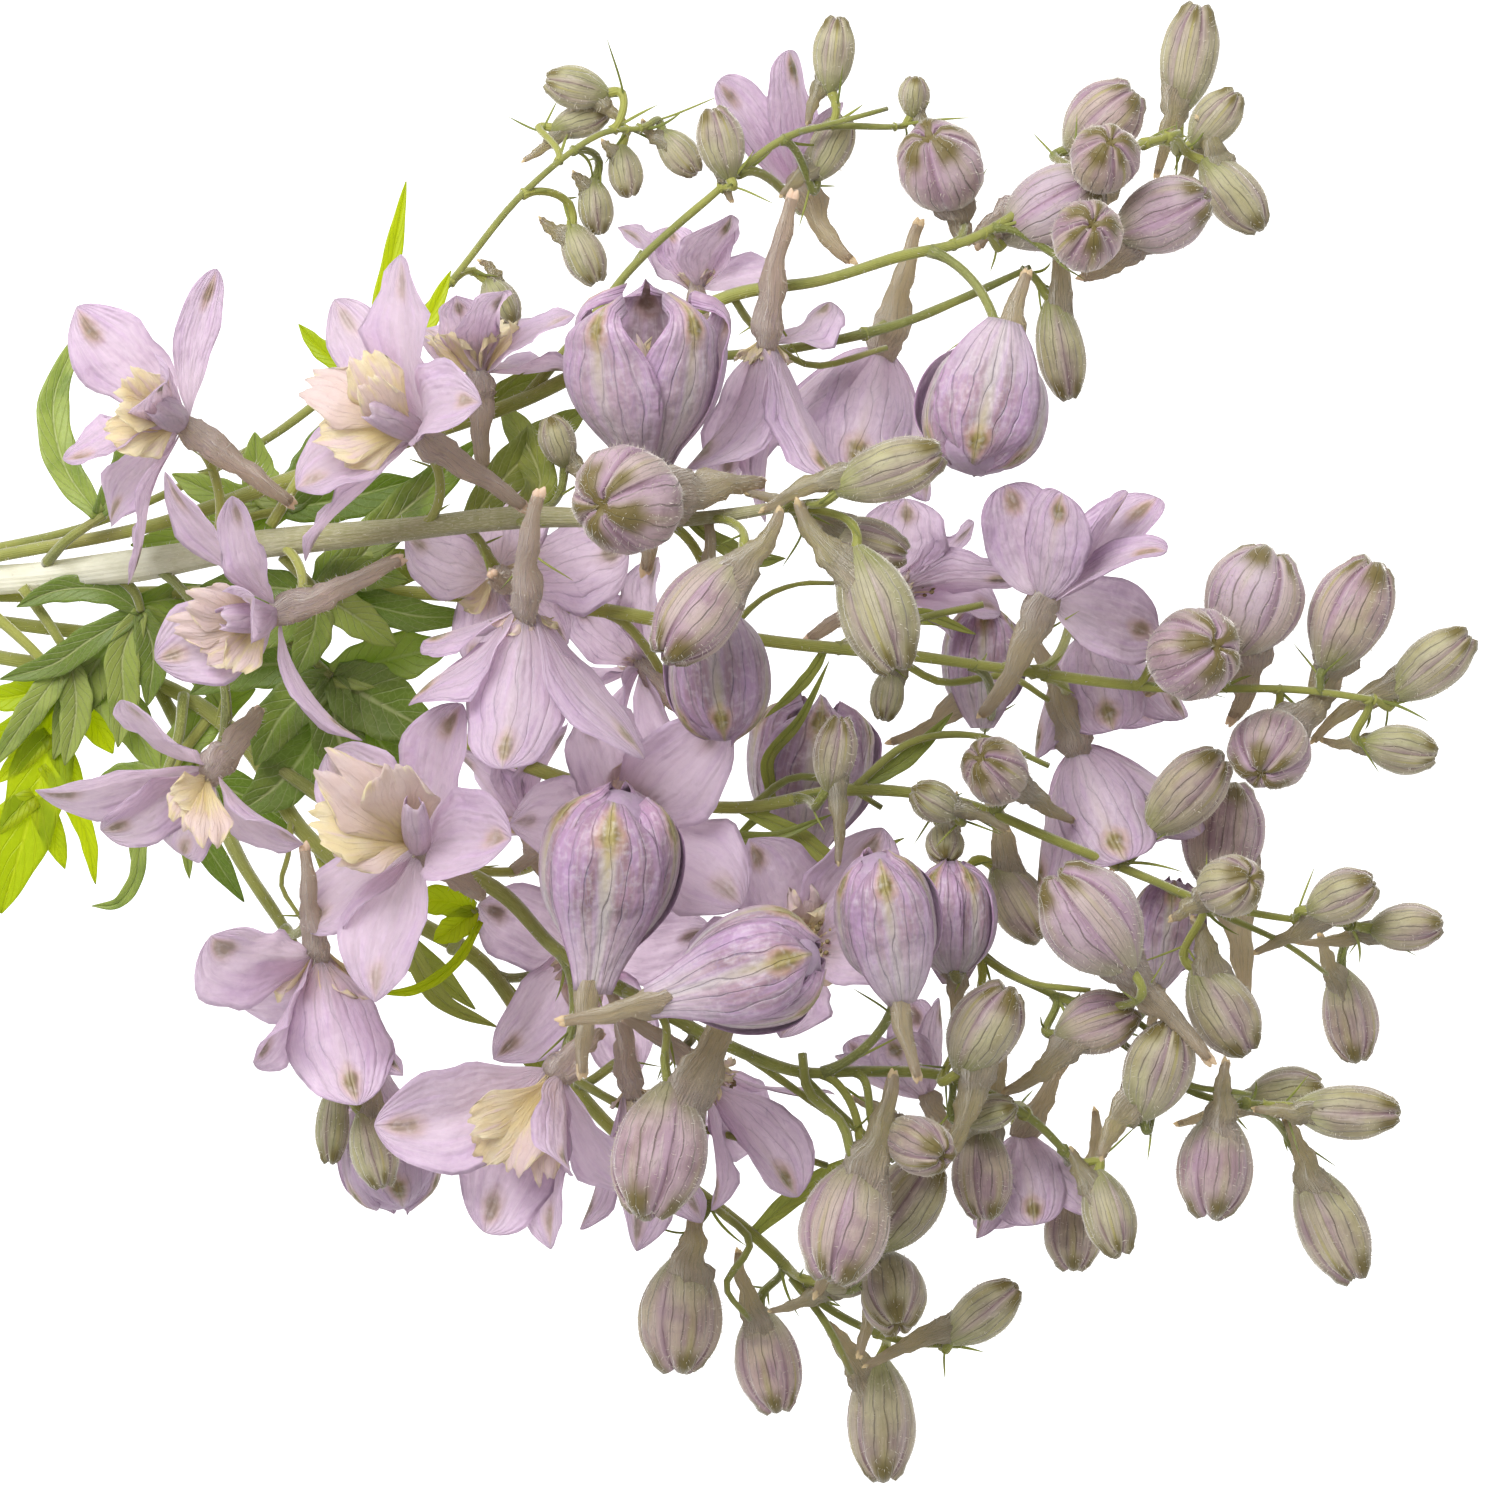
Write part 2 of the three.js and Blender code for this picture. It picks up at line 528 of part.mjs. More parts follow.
// The point of the axes nearest to a seat, moved back down the axis by a share of the distance, and the way
// the axis runs there.
function foot(axes, seat) {
  let best = { distance: Infinity };
  for (const axis of axes) {
    const curve = new THREE.CatmullRomCurve3(axis.map(vector));
    for (const t of Array.from({ length: 61 }, (_, k) => k / 60)) {
      const distance = curve.getPoint(t).distanceTo(seat);
      if (distance < best.distance) best = { distance, curve, t };
    }
  }
  const back = (0.35 * best.distance) / best.curve.getLength();
  const t = Math.max(best.t - back, 0.02);
  return { point: best.curve.getPoint(t), along: best.curve.getTangent(t) };
}

// A flower stalk from its axis to end, a point in the frame of the flower or bud that it carries.
function pedicel(axes, frame, end, radius, grow) {
  end.applyMatrix4(frame);
  const back = new THREE.Vector3(0, -0.45, -1).transformDirection(frame);
  const { point: start, along } = foot(axes, end);
  const reach = start.distanceTo(end);
  const outward = end.clone().sub(start).normalize();
  const curve = new THREE.CubicBezierCurve3(
    start,
    start.clone().addScaledVector(along, 0.25 * reach).addScaledVector(outward, 0.2 * reach),
    end.clone().addScaledVector(back, 0.36 * reach),
    end,
  );
  const steps = THREE.MathUtils.clamp(Math.round(reach / PEDICEL_STEP), 2, 3);
  const stations = curve.getPoints(steps).map((point, k) => {
    const swell = k === steps ? 1.5 : 1;
    return [...point.toArray(), radius * swell];
  });
  return bar(stations, PEDICEL_SIDES, grow);
}

// The roll that puts a bud's spur on the side of the axis that carries it.
function budRoll(axes, place) {
  const frame = budFrame(place, 0);
  const { along } = foot(axes, new THREE.Vector3().setFromMatrixPosition(frame));
  const local = along.clone().transformDirection(frame.clone().invert());
  return THREE.MathUtils.radToDeg(Math.atan2(local.x, local.y)) * -1;
}

function stalk(name, grow) {
  const axes = STALKS[name];
  const sides = name === 'main_stem' ? STEM_SIDES : AXIS_SIDES;
  const solids = axes.map((axis) => bar(axis, sides, grow));
  for (const place of BUDS[name]) {
    const roll = budRoll(axes, place);
    const radius = Math.min(PEDICEL_RADIUS, 0.1 * place[6]);
    solids.push(bud(place, roll, grow));
    solids.push(pedicel(axes, budFrame(place, roll), vector(BUD_SEAT), radius, grow));
  }
  for (const [carrier, seat, heading, rise, roll] of BLOOMS) {
    if (carrier !== name) continue;
    const frame = flowerFrame(seat, heading, rise, roll);
    solids.push(pedicel(axes, frame, vector(FLOWER_SEAT), PEDICEL_RADIUS * 1.15, grow));
  }
  return wasm.Manifold.union(solids);
}

// ---------------------------------------------------------------- leaves

// Half width along a lobe: widest at two fifths, drawn out to a point.
function lobeOutline(v) {
  return (0.35 + 2.1 * v) * (1 - v) ** 0.9;
}

function lobe([route, halfWidth, toothPairs], grow) {
  const curve = new THREE.CatmullRomCurve3(route.map(vector));
  const up = new THREE.Vector3(0, 0, 1);
  const station = (v) => {
    const along = curve.getTangent(v);
    const across = new THREE.Vector3().crossVectors(up, along).normalize();
    const width = halfWidth * lobeOutline(v);
    return { point: curve.getPoint(v), along, across, halfWidth: width, edgeRise: 0.25 * width };
  };
  const rows = route.length > 3 ? [0, 0.18, 0.45, 0.75, 1] : [0, 0.25, 0.65, 1];
  const solids = [blade(rows.map(station), LEAF_THICKNESS, grow)];
  for (let pair = 0; pair < toothPairs; pair += 1) {
    for (const side of [-1, 1]) {
      const { point, along, across, halfWidth: width } = station(0.3 + 0.24 * pair);
      const heading = along.clone().addScaledVector(across, side * 0.95).normalize();
      const sideways = new THREE.Vector3().crossVectors(up, heading).normalize();
      const length = 2.3 * width;
      solids.push(blade([0, 0.45, 1].map((v) => ({
        point: point.clone().addScaledVector(heading, v * length),
        along: heading,
        across: sideways,
        halfWidth: 0.3 * length * (v > 0 && v < 1 ? 1 : 0),
        edgeRise: 0.1,
      })), LEAF_THICKNESS, grow));
    }
  }
  return solids;
}

function leaf({ stalk: route, lobes }, grow) {
  const stations = route.map((point) => [...point, LEAF_STALK_RADIUS]);
  return wasm.Manifold.union([
    bar(stations, AXIS_SIDES, grow),
    ...lobes.flatMap((entry) => lobe(entry, grow)),
  ]);
}

// ---------------------------------------------------------------- assembly

const PIECES = [
  ...Object.keys(STALKS).map((name) => ({
    name,
    colour: name === 'main_stem' ? COLOURS.mainStem : COLOURS.branch,
    build: (grow) => stalk(name, grow),
  })),
  ...BLOOMS.map((entry, k) => ({
    name: `flower_${String(k + 1).padStart(2, '0')}`,
    colour: COLOURS.sepal,
    build: (grow) => bloom(entry, grow),
  })),
  ...LEAVES.map((entry) => ({
    name: entry.name,
    colour: COLOURS[entry.colour],
    build: (grow) => leaf(entry, grow),
  })),
];

function largestBody(solid) {
  return solid.decompose().reduce((a, b) => (a.volume() > b.volume() ? a : b));
}

function apart(a, b) {
  const [p, q] = [a.boundingBox(), b.boundingBox()];
  return [0, 1, 2].some((i) => p.max[i] < q.min[i] || q.max[i] < p.min[i]);
}

function toGeometry(solid) {
  const { vertProperties, triVerts } = solid.getMesh();
  const geometry = new THREE.BufferGeometry();
  geometry.setAttribute('position', new THREE.BufferAttribute(vertProperties, 3));
  geometry.setIndex(new THREE.BufferAttribute(triVerts, 1));
  return geometry;
}

const delphinium = new THREE.Group();
const grownPieces = [];
for (const { name, colour, build } of PIECES) {
  let solid = build(0);
  for (const grown of grownPieces) {
    if (!apart(solid, grown)) solid = solid.subtract(grown);
  }
  solid = largestBody(solid.trimByPlane([0, 0, 1], 0)).asOriginal().simplify(SLIVER);
  solid = largestBody(solid);
  grownPieces.push(build(CLEARANCE));
  const material = new THREE.MeshStandardMaterial({ color: colour, roughness: 0.6, metalness: 0 });
  const mesh = new THREE.Mesh(toGeometry(solid), material);
  mesh.name = name;
  delphinium.add(mesh);
}

export default delphinium;
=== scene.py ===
"""A cut stem of a pale lilac delphinium: its blooms, buds, stalks and leaves in fine detail."""
import itertools
import math

import bpy
import numpy as np
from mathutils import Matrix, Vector


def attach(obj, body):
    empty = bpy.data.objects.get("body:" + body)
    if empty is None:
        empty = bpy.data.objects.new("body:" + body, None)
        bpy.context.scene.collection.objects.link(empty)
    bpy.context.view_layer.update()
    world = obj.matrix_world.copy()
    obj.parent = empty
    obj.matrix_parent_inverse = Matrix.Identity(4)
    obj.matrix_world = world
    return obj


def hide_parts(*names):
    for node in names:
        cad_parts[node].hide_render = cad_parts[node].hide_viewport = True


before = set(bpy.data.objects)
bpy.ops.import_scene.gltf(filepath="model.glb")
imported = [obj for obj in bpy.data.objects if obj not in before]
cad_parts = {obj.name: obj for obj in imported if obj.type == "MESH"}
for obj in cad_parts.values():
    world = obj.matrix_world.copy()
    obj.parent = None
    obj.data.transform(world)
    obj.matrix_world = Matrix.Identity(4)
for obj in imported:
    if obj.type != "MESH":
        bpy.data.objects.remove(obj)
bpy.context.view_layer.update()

MM = 0.001

# ------------------------------------------------------------------ sizes, in millimetres

SEPAL_LENGTH = 26.0
SEPAL_HALF_WIDTH = 7.8
SEPAL_THICKNESS, WRAP_THICKNESS, BEE_THICKNESS = 0.3, 0.32, 0.28
BRACT_THICKNESS, LOBE_THICKNESS = 0.3, 0.36
PEDICEL_RADIUS = 0.72
BRACT_LENGTH, BRACT_HALF_WIDTH = 9.0, 0.36
BRACTEOLE_LENGTH, BRACTEOLE_HALF_WIDTH = 6.0, 0.25
HAIRS_PER_SQUARE_METRE = 700000.0
HAIR_LENGTH, HAIR_RADIUS = 0.75, 0.05
# How far a hair leans from upright at most, in radians, and the sizes of hairs against the one above.
HAIR_LEAN = 0.55
SHORTEST_HAIR, LONGEST_HAIR = 0.55, 1.3

# The angle of a sepal from the way the flower faces, at its root and at its tip, in degrees.
OPEN = (42, 102)
FLARED = (46, 66)
BELL = (54, 16)
CUP = (57, -36)

# ------------------------------------------------------------------ routes of the stalks: x, y, z, radius

STALKS = {
    "main_stem": [
        [(-6, 0, 2.1, 2.7), (12, -0.3, 2.1, 2.7), (32, -0.6, 6, 2.7), (65, 0.3, 17, 2.6),
         (87, 2.5, 29, 2.5), (107, 5.8, 41, 2.3), (132, 8.3, 51, 2), (152, 10.3, 57, 1.7),
         (180, 10, 61, 1.2), (198, 12.5, 63, 0.8)],
    ],
    "branch_upper_thin": [
        [(40, 1, 8, 1.3), (52, 4.2, 10, 1.2), (65, 6, 11, 1.1), (83, 10.8, 14, 1), (106, 22, 19, 0.9),
         (115, 28, 20, 0.9), (137, 47, 22, 0.75), (152, 65, 21, 0.7), (165, 75, 19, 0.65),
         (172, 76, 18, 0.6)],
    ],
    "branch_upper": [
        [(48, 1, 12, 1.6), (65, 4.4, 20, 1.6), (90, 9.2, 28, 1.6), (112, 16.4, 35, 1.6), (132, 23, 39, 1.6),
         (152, 30, 39, 1.5), (168, 38, 39, 1.4), (187, 47.5, 40, 1.3), (202, 50, 40, 1.2),
         (215, 54, 39, 1.1), (227, 57, 38, 1), (248, 70, 34, 0.9), (262, 75, 28, 0.8)],
        [(152, 30, 39, 1.2), (163, 43, 36, 0.95), (170, 52, 34, 0.85), (182, 63, 32, 0.8),
         (198, 75, 30, 0.75), (215, 76, 28, 0.65)],
        [(166, 37, 39, 1.2), (176, 37, 34, 1.1), (198, 39, 28, 1), (215, 43, 27, 1), (225, 47, 27, 0.9),
         (237, 52.5, 25, 0.7)],
    ],
    "branch_level": [
        [(44, -1.5, 11, 1.6), (65, -2.5, 13, 1.6), (88, -2, 18, 1.6), (107, -2, 24, 1.6),
         (132, -2, 31, 1.5), (165, -5, 35, 1.4), (192, -10, 37, 1.3), (216, -12.5, 38, 1.2),
         (232, -14.7, 37, 1.1), (257, -17.8, 34, 1), (282, -18.3, 30, 0.8), (295, -20, 27, 0.7)],
    ],
    "branch_right": [
        [(36, -2, 6, 1.7), (50, -5, 6.5, 1.7), (65, -7, 8, 1.7), (98, -12, 18, 1.6), (132, -23, 25, 1.5),
         (165, -35, 30, 1.4), (188, -38, 34, 1.3), (207, -35, 35, 1.2), (225, -37, 34, 1.1),
         (240, -43, 32, 1), (257, -50, 29, 0.9), (267, -54, 27, 0.8), (283, -57, 23, 0.7),
         (298, -58, 19, 0.6)],
        [(165, -35, 30, 1.3), (182, -46, 27, 1.2), (207, -54, 25, 1.1), (223, -58, 25, 1),
         (232, -65, 25, 0.9), (242, -70, 25, 0.9), (253, -78, 24, 0.8), (265, -86, 21, 0.8),
         (277, -88, 17, 0.7)],
    ],
    "branch_low": [
        [(28, -2, 4.6, 1.8), (46, -9, 4.6, 1.8), (65, -13, 7, 1.8), (90, -17, 12, 1.8), (105, -27, 17, 1.8),
         (115, -42, 19, 1.8), (132, -56, 21, 1.7), (145, -64, 21, 1.6), (155, -78, 20, 1.5),
         (168, -93, 18, 1.3), (182, -103, 16, 1.2), (193, -112, 14, 1.1), (203, -122, 12, 0.9),
         (215, -127.5, 11, 0.8), (225, -128.5, 11, 0.6)],
        [(105, -27, 17, 1.6), (118, -36, 24, 1.6), (131, -44, 29, 1.6), (148, -52, 33, 1.6),
         (158, -62, 38, 1.5), (172, -70, 45, 1.4), (185, -77, 43, 1.3), (198, -82, 40, 1.2),
         (210, -82, 37, 1.1), (223, -83, 33, 1), (237, -90, 27, 0.9), (245, -98, 23, 0.7)],
        [(90, -17, 12, 1.6), (97, -30, 13, 1.6), (104, -46, 18, 1.5), (113, -60, 26, 1.2),
         (119, -74, 28, 0.8)],
    ],
}

# Smaller stalks between them, by the stalk that carries them: stations as above.
TWIGS = {
    "branch_low": [
        [(184, -105, 16, 0.9), (190, -111, 20, 0.8), (186, -118, 20, 0.7), (190, -124, 14, 0.6)],
        [(197, -117, 13, 0.9), (203, -125, 16, 0.8), (207, -133, 12, 0.7)],
        [(158, -82, 20, 1), (171, -89, 25, 0.9), (187, -93, 25, 0.8), (203, -98, 24, 0.7)],
        [(186, -77, 43, 0.9), (196, -84, 36, 0.8), (203, -89, 32, 0.7)],
        [(198.7, -79, 42, 1), (199.8, -85.4, 44, 1), (205.4, -90.6, 46, 1), (207, -97, 47, 1)],
        [(198, -82, 40, 0.9), (206, -90, 38, 0.8), (214, -97, 32, 0.7)],
        [(113, -40, 19, 0.8), (112.6, -46, 24, 0.6), (111.6, -51, 29, 0.55), (115, -56.5, 33, 0.5)],
    ],
    "branch_level": [
        [(206, -11, 37, 0.9), (216, -7, 33, 0.8), (229, -4, 31, 0.7)],
        [(213, -12, 38, 0.8), (222, -17, 33, 0.8), (233, -16, 30, 0.7), (240, -20, 27, 0.6)],
        [(186, -9, 36, 0.7), (192, -3, 33, 0.6), (198, -0.6, 30, 0.5), (204, -0.4, 27, 0.5)],
    ],
    "branch_right": [
        [(190, -38, 34, 0.9), (197, -33, 33, 0.8), (205, -34, 30, 0.7), (212, -38, 28, 0.6)],
        [(207, -35, 35, 0.9), (217, -27, 34, 0.8), (228, -26, 32, 0.7), (240, -31, 29, 0.6)],
        [(257, -50, 29, 0.8), (267, -55, 24, 0.7), (280, -61, 20, 0.6), (287, -66, 14, 0.5)],
        [(242, -70, 25, 0.8), (252, -72, 30, 0.7), (262, -80, 27, 0.6)],
        [(253, -78, 24, 0.8), (262, -84, 26, 0.7), (274, -86, 24, 0.6)],
        [(226, -61, 25, 0.8), (236, -67, 28, 0.7), (247, -68.6, 28, 0.6)],
    ],
    "branch_upper": [
        [(198, 75, 30, 0.7), (206, 77, 32, 0.6), (213, 79, 29, 0.5)],
        [(187, 47.5, 40, 0.9), (191, 42, 34, 0.8), (200, 36, 32, 0.7), (213, 39, 30, 0.6)],
        [(166, 37, 39, 0.8), (166, 45, 36, 0.7), (172, 55, 33, 0.6)],
    ],
}

# Buds: x, y, z of the middle, heading and rise of the tip in degrees, length, width.
BUDS = {
    "main_stem": [
        (213, 18, 70, 20, 6, 19, 10.5), (209, 6, 57, -14, -6, 15, 9), (182, -5, 76, -128, 10, 21, 13.5),
        (211, -5, 67, -70, 4, 22, 13), (170, 13, 75, 196, 58, 20, 18), (158, 23, 47, 110, 5, 9, 6.5),
    ],
    "branch_upper_thin": [
        (161, 83, 16, 165, 0, 11, 7), (161.4, 77.4, 12, 18, 2, 10, 6), (169, 69, 12, -80, 0, 9, 6),
        (178, 72, 14, -50, 0, 9.5, 6.5), (164, 63, 12, -85, 0, 9.5, 6.5), (162, 55, 14, -65, 0, 11, 7),
        (148, 47, 16, -62, 0, 9, 6.5), (122, 42, 19, 200, 10, 6, 4.6),
    ],
    "branch_upper": [
        (185, 73, 33, 105, 4, 12.5, 8), (204, 88, 29, 84, 0, 13, 7), (217.5, 81, 26, 85, 0, 7, 5.5),
        (222, 69, 33, 112, 46, 17.5, 15), (264, 88, 3.6, 78, -1, 19, 10), (249, 77, 24, 42, 4, 15.4, 12.2),
        (249, 70, 42, 70, 62, 15, 11.5), (268, 77.5, 18, 50, 6, 12, 8), (271, 65, 19, -50, -4, 15.5, 9.5),
        (259, 61, 33, 22, 12, 17, 13), (246, 57, 48, 60, 72, 16, 12), (240.5, 62, 34, 30, 8, 19, 14.5),
        (242, 39, 22, -80, -4, 17.5, 8.5), (203.5, 72.5, 24, 62, 0, 12, 7.5),
    ],
    "branch_level": [
        (274, -3.5, 33, 70, 4, 19, 16.5), (290.3, -5.6, 30, 66, 6, 20, 14),
        (263.5, -12.4, 46, 20, 58, 18, 16), (304, -14, 25, 40, 4, 17, 9.5),
        (299, -28, 22, -8, 0, 12.5, 8.5), (213, -19, 31, -100, 0, 9, 6), (277, -28, 35, -112, 44, 15, 13.5),
    ],
    "branch_right": [
        (263, -35.5, 27, 46, 6, 18, 11.5), (269.3, -43, 12, 84, 0, 19, 14.8),
        (231, -32, 44, 140, 58, 15, 11), (221, -37, 43, 150, 20, 9, 7), (222.5, -44, 34, -85, 40, 8, 6.5),
        (204, -29, 50, 82, 12, 13, 7.5), (247, -57, 44, 129, 8, 21, 16.5), (270, -51, 36, 20, 50, 13, 10.5),
        (289, -53, 27, 24, 14, 12.5, 9.5), (300, -58, 19, 4, 0, 12.5, 8.5),
        (269, -72, 22, -60, 0, 17, 11.5), (291, -73, 3.6, -78, 0, 16, 9.5), (229, -75, 43, 62, 10, 17, 12),
        (248, -74, 31, 20, 10, 14.5, 11), (258, -82, 33, 72, 10, 17, 11.5), (268, -98, 22, -95, 4, 18, 13),
        (280, -86, 8.6, 8, 0, 13, 9), (290, -89, 20, -3, 4, 18, 9.5), (288, -108, 4.5, -64, 0, 21, 12),
        (235, -54, 18, -60, 0, 15, 10),
    ],
    "branch_low": [
        (218, -94, 47, -25, 44, 14.5, 10.5), (230, -89, 34, 20, 14, 9.5, 6.5),
        (229, -99, 26, -86, 0, 16, 10.5), (250, -106, 24, -75, 6, 15, 9.5),
        (244.6, -109, 8, -90, 0, 14, 10), (175, -95, 57, -100, 8, 23, 16.5),
        (206, -107, 45, -105, 6, 21, 15.5), (216, -104.5, 28, 56, 0, 18, 12.5),
        (178.6, -123, 17, -92, 0, 20, 14.5), (193, -131, 9, -80, 0, 18, 11),
        (214, -119, 27, -80, 40, 16, 11), (212, -141, 4.4, -88, 0, 21, 11.8), (229, -123, 14, 38, 6, 15, 9),
        (206, -117, 20, 12, 0, 9.5, 7), (127, -95, 35, -75, 4, 13.5, 7.8), (120, -91, 21, -95, 0, 13.5, 6),
    ],
}

# Where the spurs of buds end, by the x and y of the bud, for the spurs that bend aside.
SPUR_ENDS = {
    (213, 18): (192, 12, 67), (182, -5): (195, 11, 73), (211, -5): (197.4, 12.4, 68),
    (161, 83): (168.8, 77.7, 16), (161.4, 77.4): (151.9, 71, 12), (178, 72): (171.8, 77.2, 15),
    (169, 69): (165.4, 74, 13), (164, 63): (160.6, 68.7, 13), (162, 55): (154.7, 60.8, 14),
    (148, 47): (144.8, 53.8, 16), (185, 73): (187, 63.6, 31), (204, 88): (199.4, 76.6, 28),
    (222, 69): (226.5, 57, 26), (264, 88): (258.8, 68.6, 6), (249, 77): (240.4, 65.6, 22),
    (271, 65): (264.8, 77.5, 20), (259, 61): (245.6, 50.9, 28), (240.5, 62): (228, 56, 32),
    (203.5, 72.5): (195.2, 64.6, 26), (274, -3.5): (270.9, -23, 28), (290.3, -5.6): (282, -25, 27),
    (304, -14): (284.5, -27, 23), (299, -28): (286, -26.4, 21), (247, -57): (266, -80.5, 36),
    (263, -35.5): (250.6, -47.6, 24), (270, -51): (260.4, -56.4, 33), (269, -72): (264, -56.8, 23),
    (291, -73): (285.6, -59.5, 8), (248, -74): (232.6, -85.3, 29), (258, -82): (248.4, -96.2, 31),
    (268, -98): (269.8, -80.8, 24), (290, -89): (274.9, -88.6, 20), (288, -108): (280, -90.6, 8),
    (250, -106): (243.9, -95.3, 24), (214, -119): (208.4, -130, 22), (229, -123): (209.5, -131.6, 12),
    (212, -141): (203.2, -124.8, 8), (193, -131): (188.3, -112.8, 12), (206, -107): (213.6, -82.6, 44),
    (216, -104.5): (200.6, -119, 27), (178.6, -123): (180.4, -104, 20),
}

# How ripe some buds look, where it is not as their width says.
BUD_AGES = {
    (211, -5): 0.3, (213, 18): 0.2, (209, 6): 0.4, (182, -5): 0.9, (264, 88): 0.32, (271, 65): 0.25,
    (304, -14): 0.35, (290.3, -5.6): 0.8, (288, -108): 0.4, (212, -141): 0.42, (290, -89): 0.2,
    (242, 39): 0.4, (221, -37): 0, (204, -29): 0.2, (263, -35.5): 0.4, (270, -51): 0.4, (216, -104.5): 0.5,
    (214, -119): 0.5, (175, -95): 0.95, (206, -107): 0.85, (178.6, -123): 0.7, (229, -75): 0.5,
    (258, -82): 0.55, (249, 70): 0.7, (269, -72): 0.5, (229, -99): 0.6, (240.5, 62): 1.4, (259, 61): 1.2,
    (274, -3.5): 1.4, (222, 69): 1.15, (247, -57): 1.2, (170, 13): 1, (193, -131): 0.6, (203.5, 72.5): 0.3,
}

# Flowers: carrier, seat, heading, rise and roll of the way each faces, how far it is open, size.
BLOOMS = [
    ("main_stem", (97, 25, 54), 148, 30, 18, OPEN, 1.1),
    ("main_stem", (136, 23, 70), 139, 35, 8, OPEN, 1.1),
    ("branch_upper", (145, 33, 50), 100, 10, 0, OPEN, 0.94),
    ("branch_upper", (173, 23, 58), 90, 12, 180, CUP, 1.15),
    ("main_stem", (112.5, -5, 60), 205, 20, -5, OPEN, 1.08),
    ("main_stem", (153, -4, 72), -95, -22, 0, FLARED, 1.12),
    ("main_stem", (101, -31, 50), 232, 20, -20, OPEN, 1.08),
    ("branch_low", (136, -45, 52), 140, 50, 14, OPEN, 1.08),
    ("branch_low", (118, -61, 42), -80, -18, 0, OPEN, 0.96),
    ("branch_low", (158, -81, 42), -120, 22, 0, FLARED, 1.14),
    ("branch_low", (127.5, -87, 15), -78, 0, 0, CUP, 0.84),
    ("main_stem", (148, 1, 45), -60, -70, 0, OPEN, 0.96),
    ("branch_upper", (193, 41, 42), -98, 5, 0, FLARED, 1.08),
    ("branch_upper", (230.6, 35.6, 48), -104, 10, 0, CUP, 1.0),
    ("branch_upper", (212.5, 40, 16), -108, -3, 0, BELL, 1.02),
    ("branch_upper", (198, 66, 14), 104, 4, 0, BELL, 0.96),
    ("branch_upper", (181, 48, 15), 95, 0, 0, FLARED, 0.8),
    ("branch_level", (239, -4, 50), 70, 12, 0, BELL, 0.88),
    ("branch_level", (246, -8, 12.6), -75, 0, 0, BELL, 0.84),
    ("branch_level", (213, -2, 24), 14, 0, 0, FLARED, 0.9),
    ("branch_level", (229, -20, 16), 90, 0, 0, CUP, 0.7),
    ("branch_level", (244.5, -27, 18), -68, -4, 0, BELL, 1.0),
    ("branch_right", (199, -42, 18), 84, 4, 0, CUP, 1.0),
    ("branch_right", (167, -41, 37), 30, 60, -14, OPEN, 1.04),
    ("branch_low", (165, -60, 62), 82, 12, 0, CUP, 1.02),
    ("branch_low", (180, -68, 69), 16, 8, 0, CUP, 1.0),
    ("branch_right", (197, -62, 29), 20, 60, 20, OPEN, 1.0),
    ("branch_low", (214, -64, 55), 100, 15, 0, CUP, 0.86),
    ("branch_right", (224, -63, 35), 92, 5, 180, CUP, 0.72),
    ("branch_low", (153, -43, 20), 118, 5, 0, FLARED, 0.92),
    ("branch_low", (182, -82, 34), -38, -20, 0, FLARED, 0.96),
    ("branch_low", (160, -62, 15), -30, 66, 0, OPEN, 0.9),
    ("branch_low", (170, -84, 28), -78, -20, 0, FLARED, 0.96),
    ("branch_low", (235, -92, 13), -80, 0, 0, BELL, 0.74),
    ("branch_low", (220, -87, 15), 120, 6, 0, BELL, 0.64),
    ("branch_right", (259, -64, 12), 80, 0, 0, CUP, 0.62),
    ("branch_level", (173, -15, 22), 130, -12, 0, FLARED, 0.84),
    ("main_stem", (184, -8, 54), -85, 0, 0, CUP, 0.84),
]

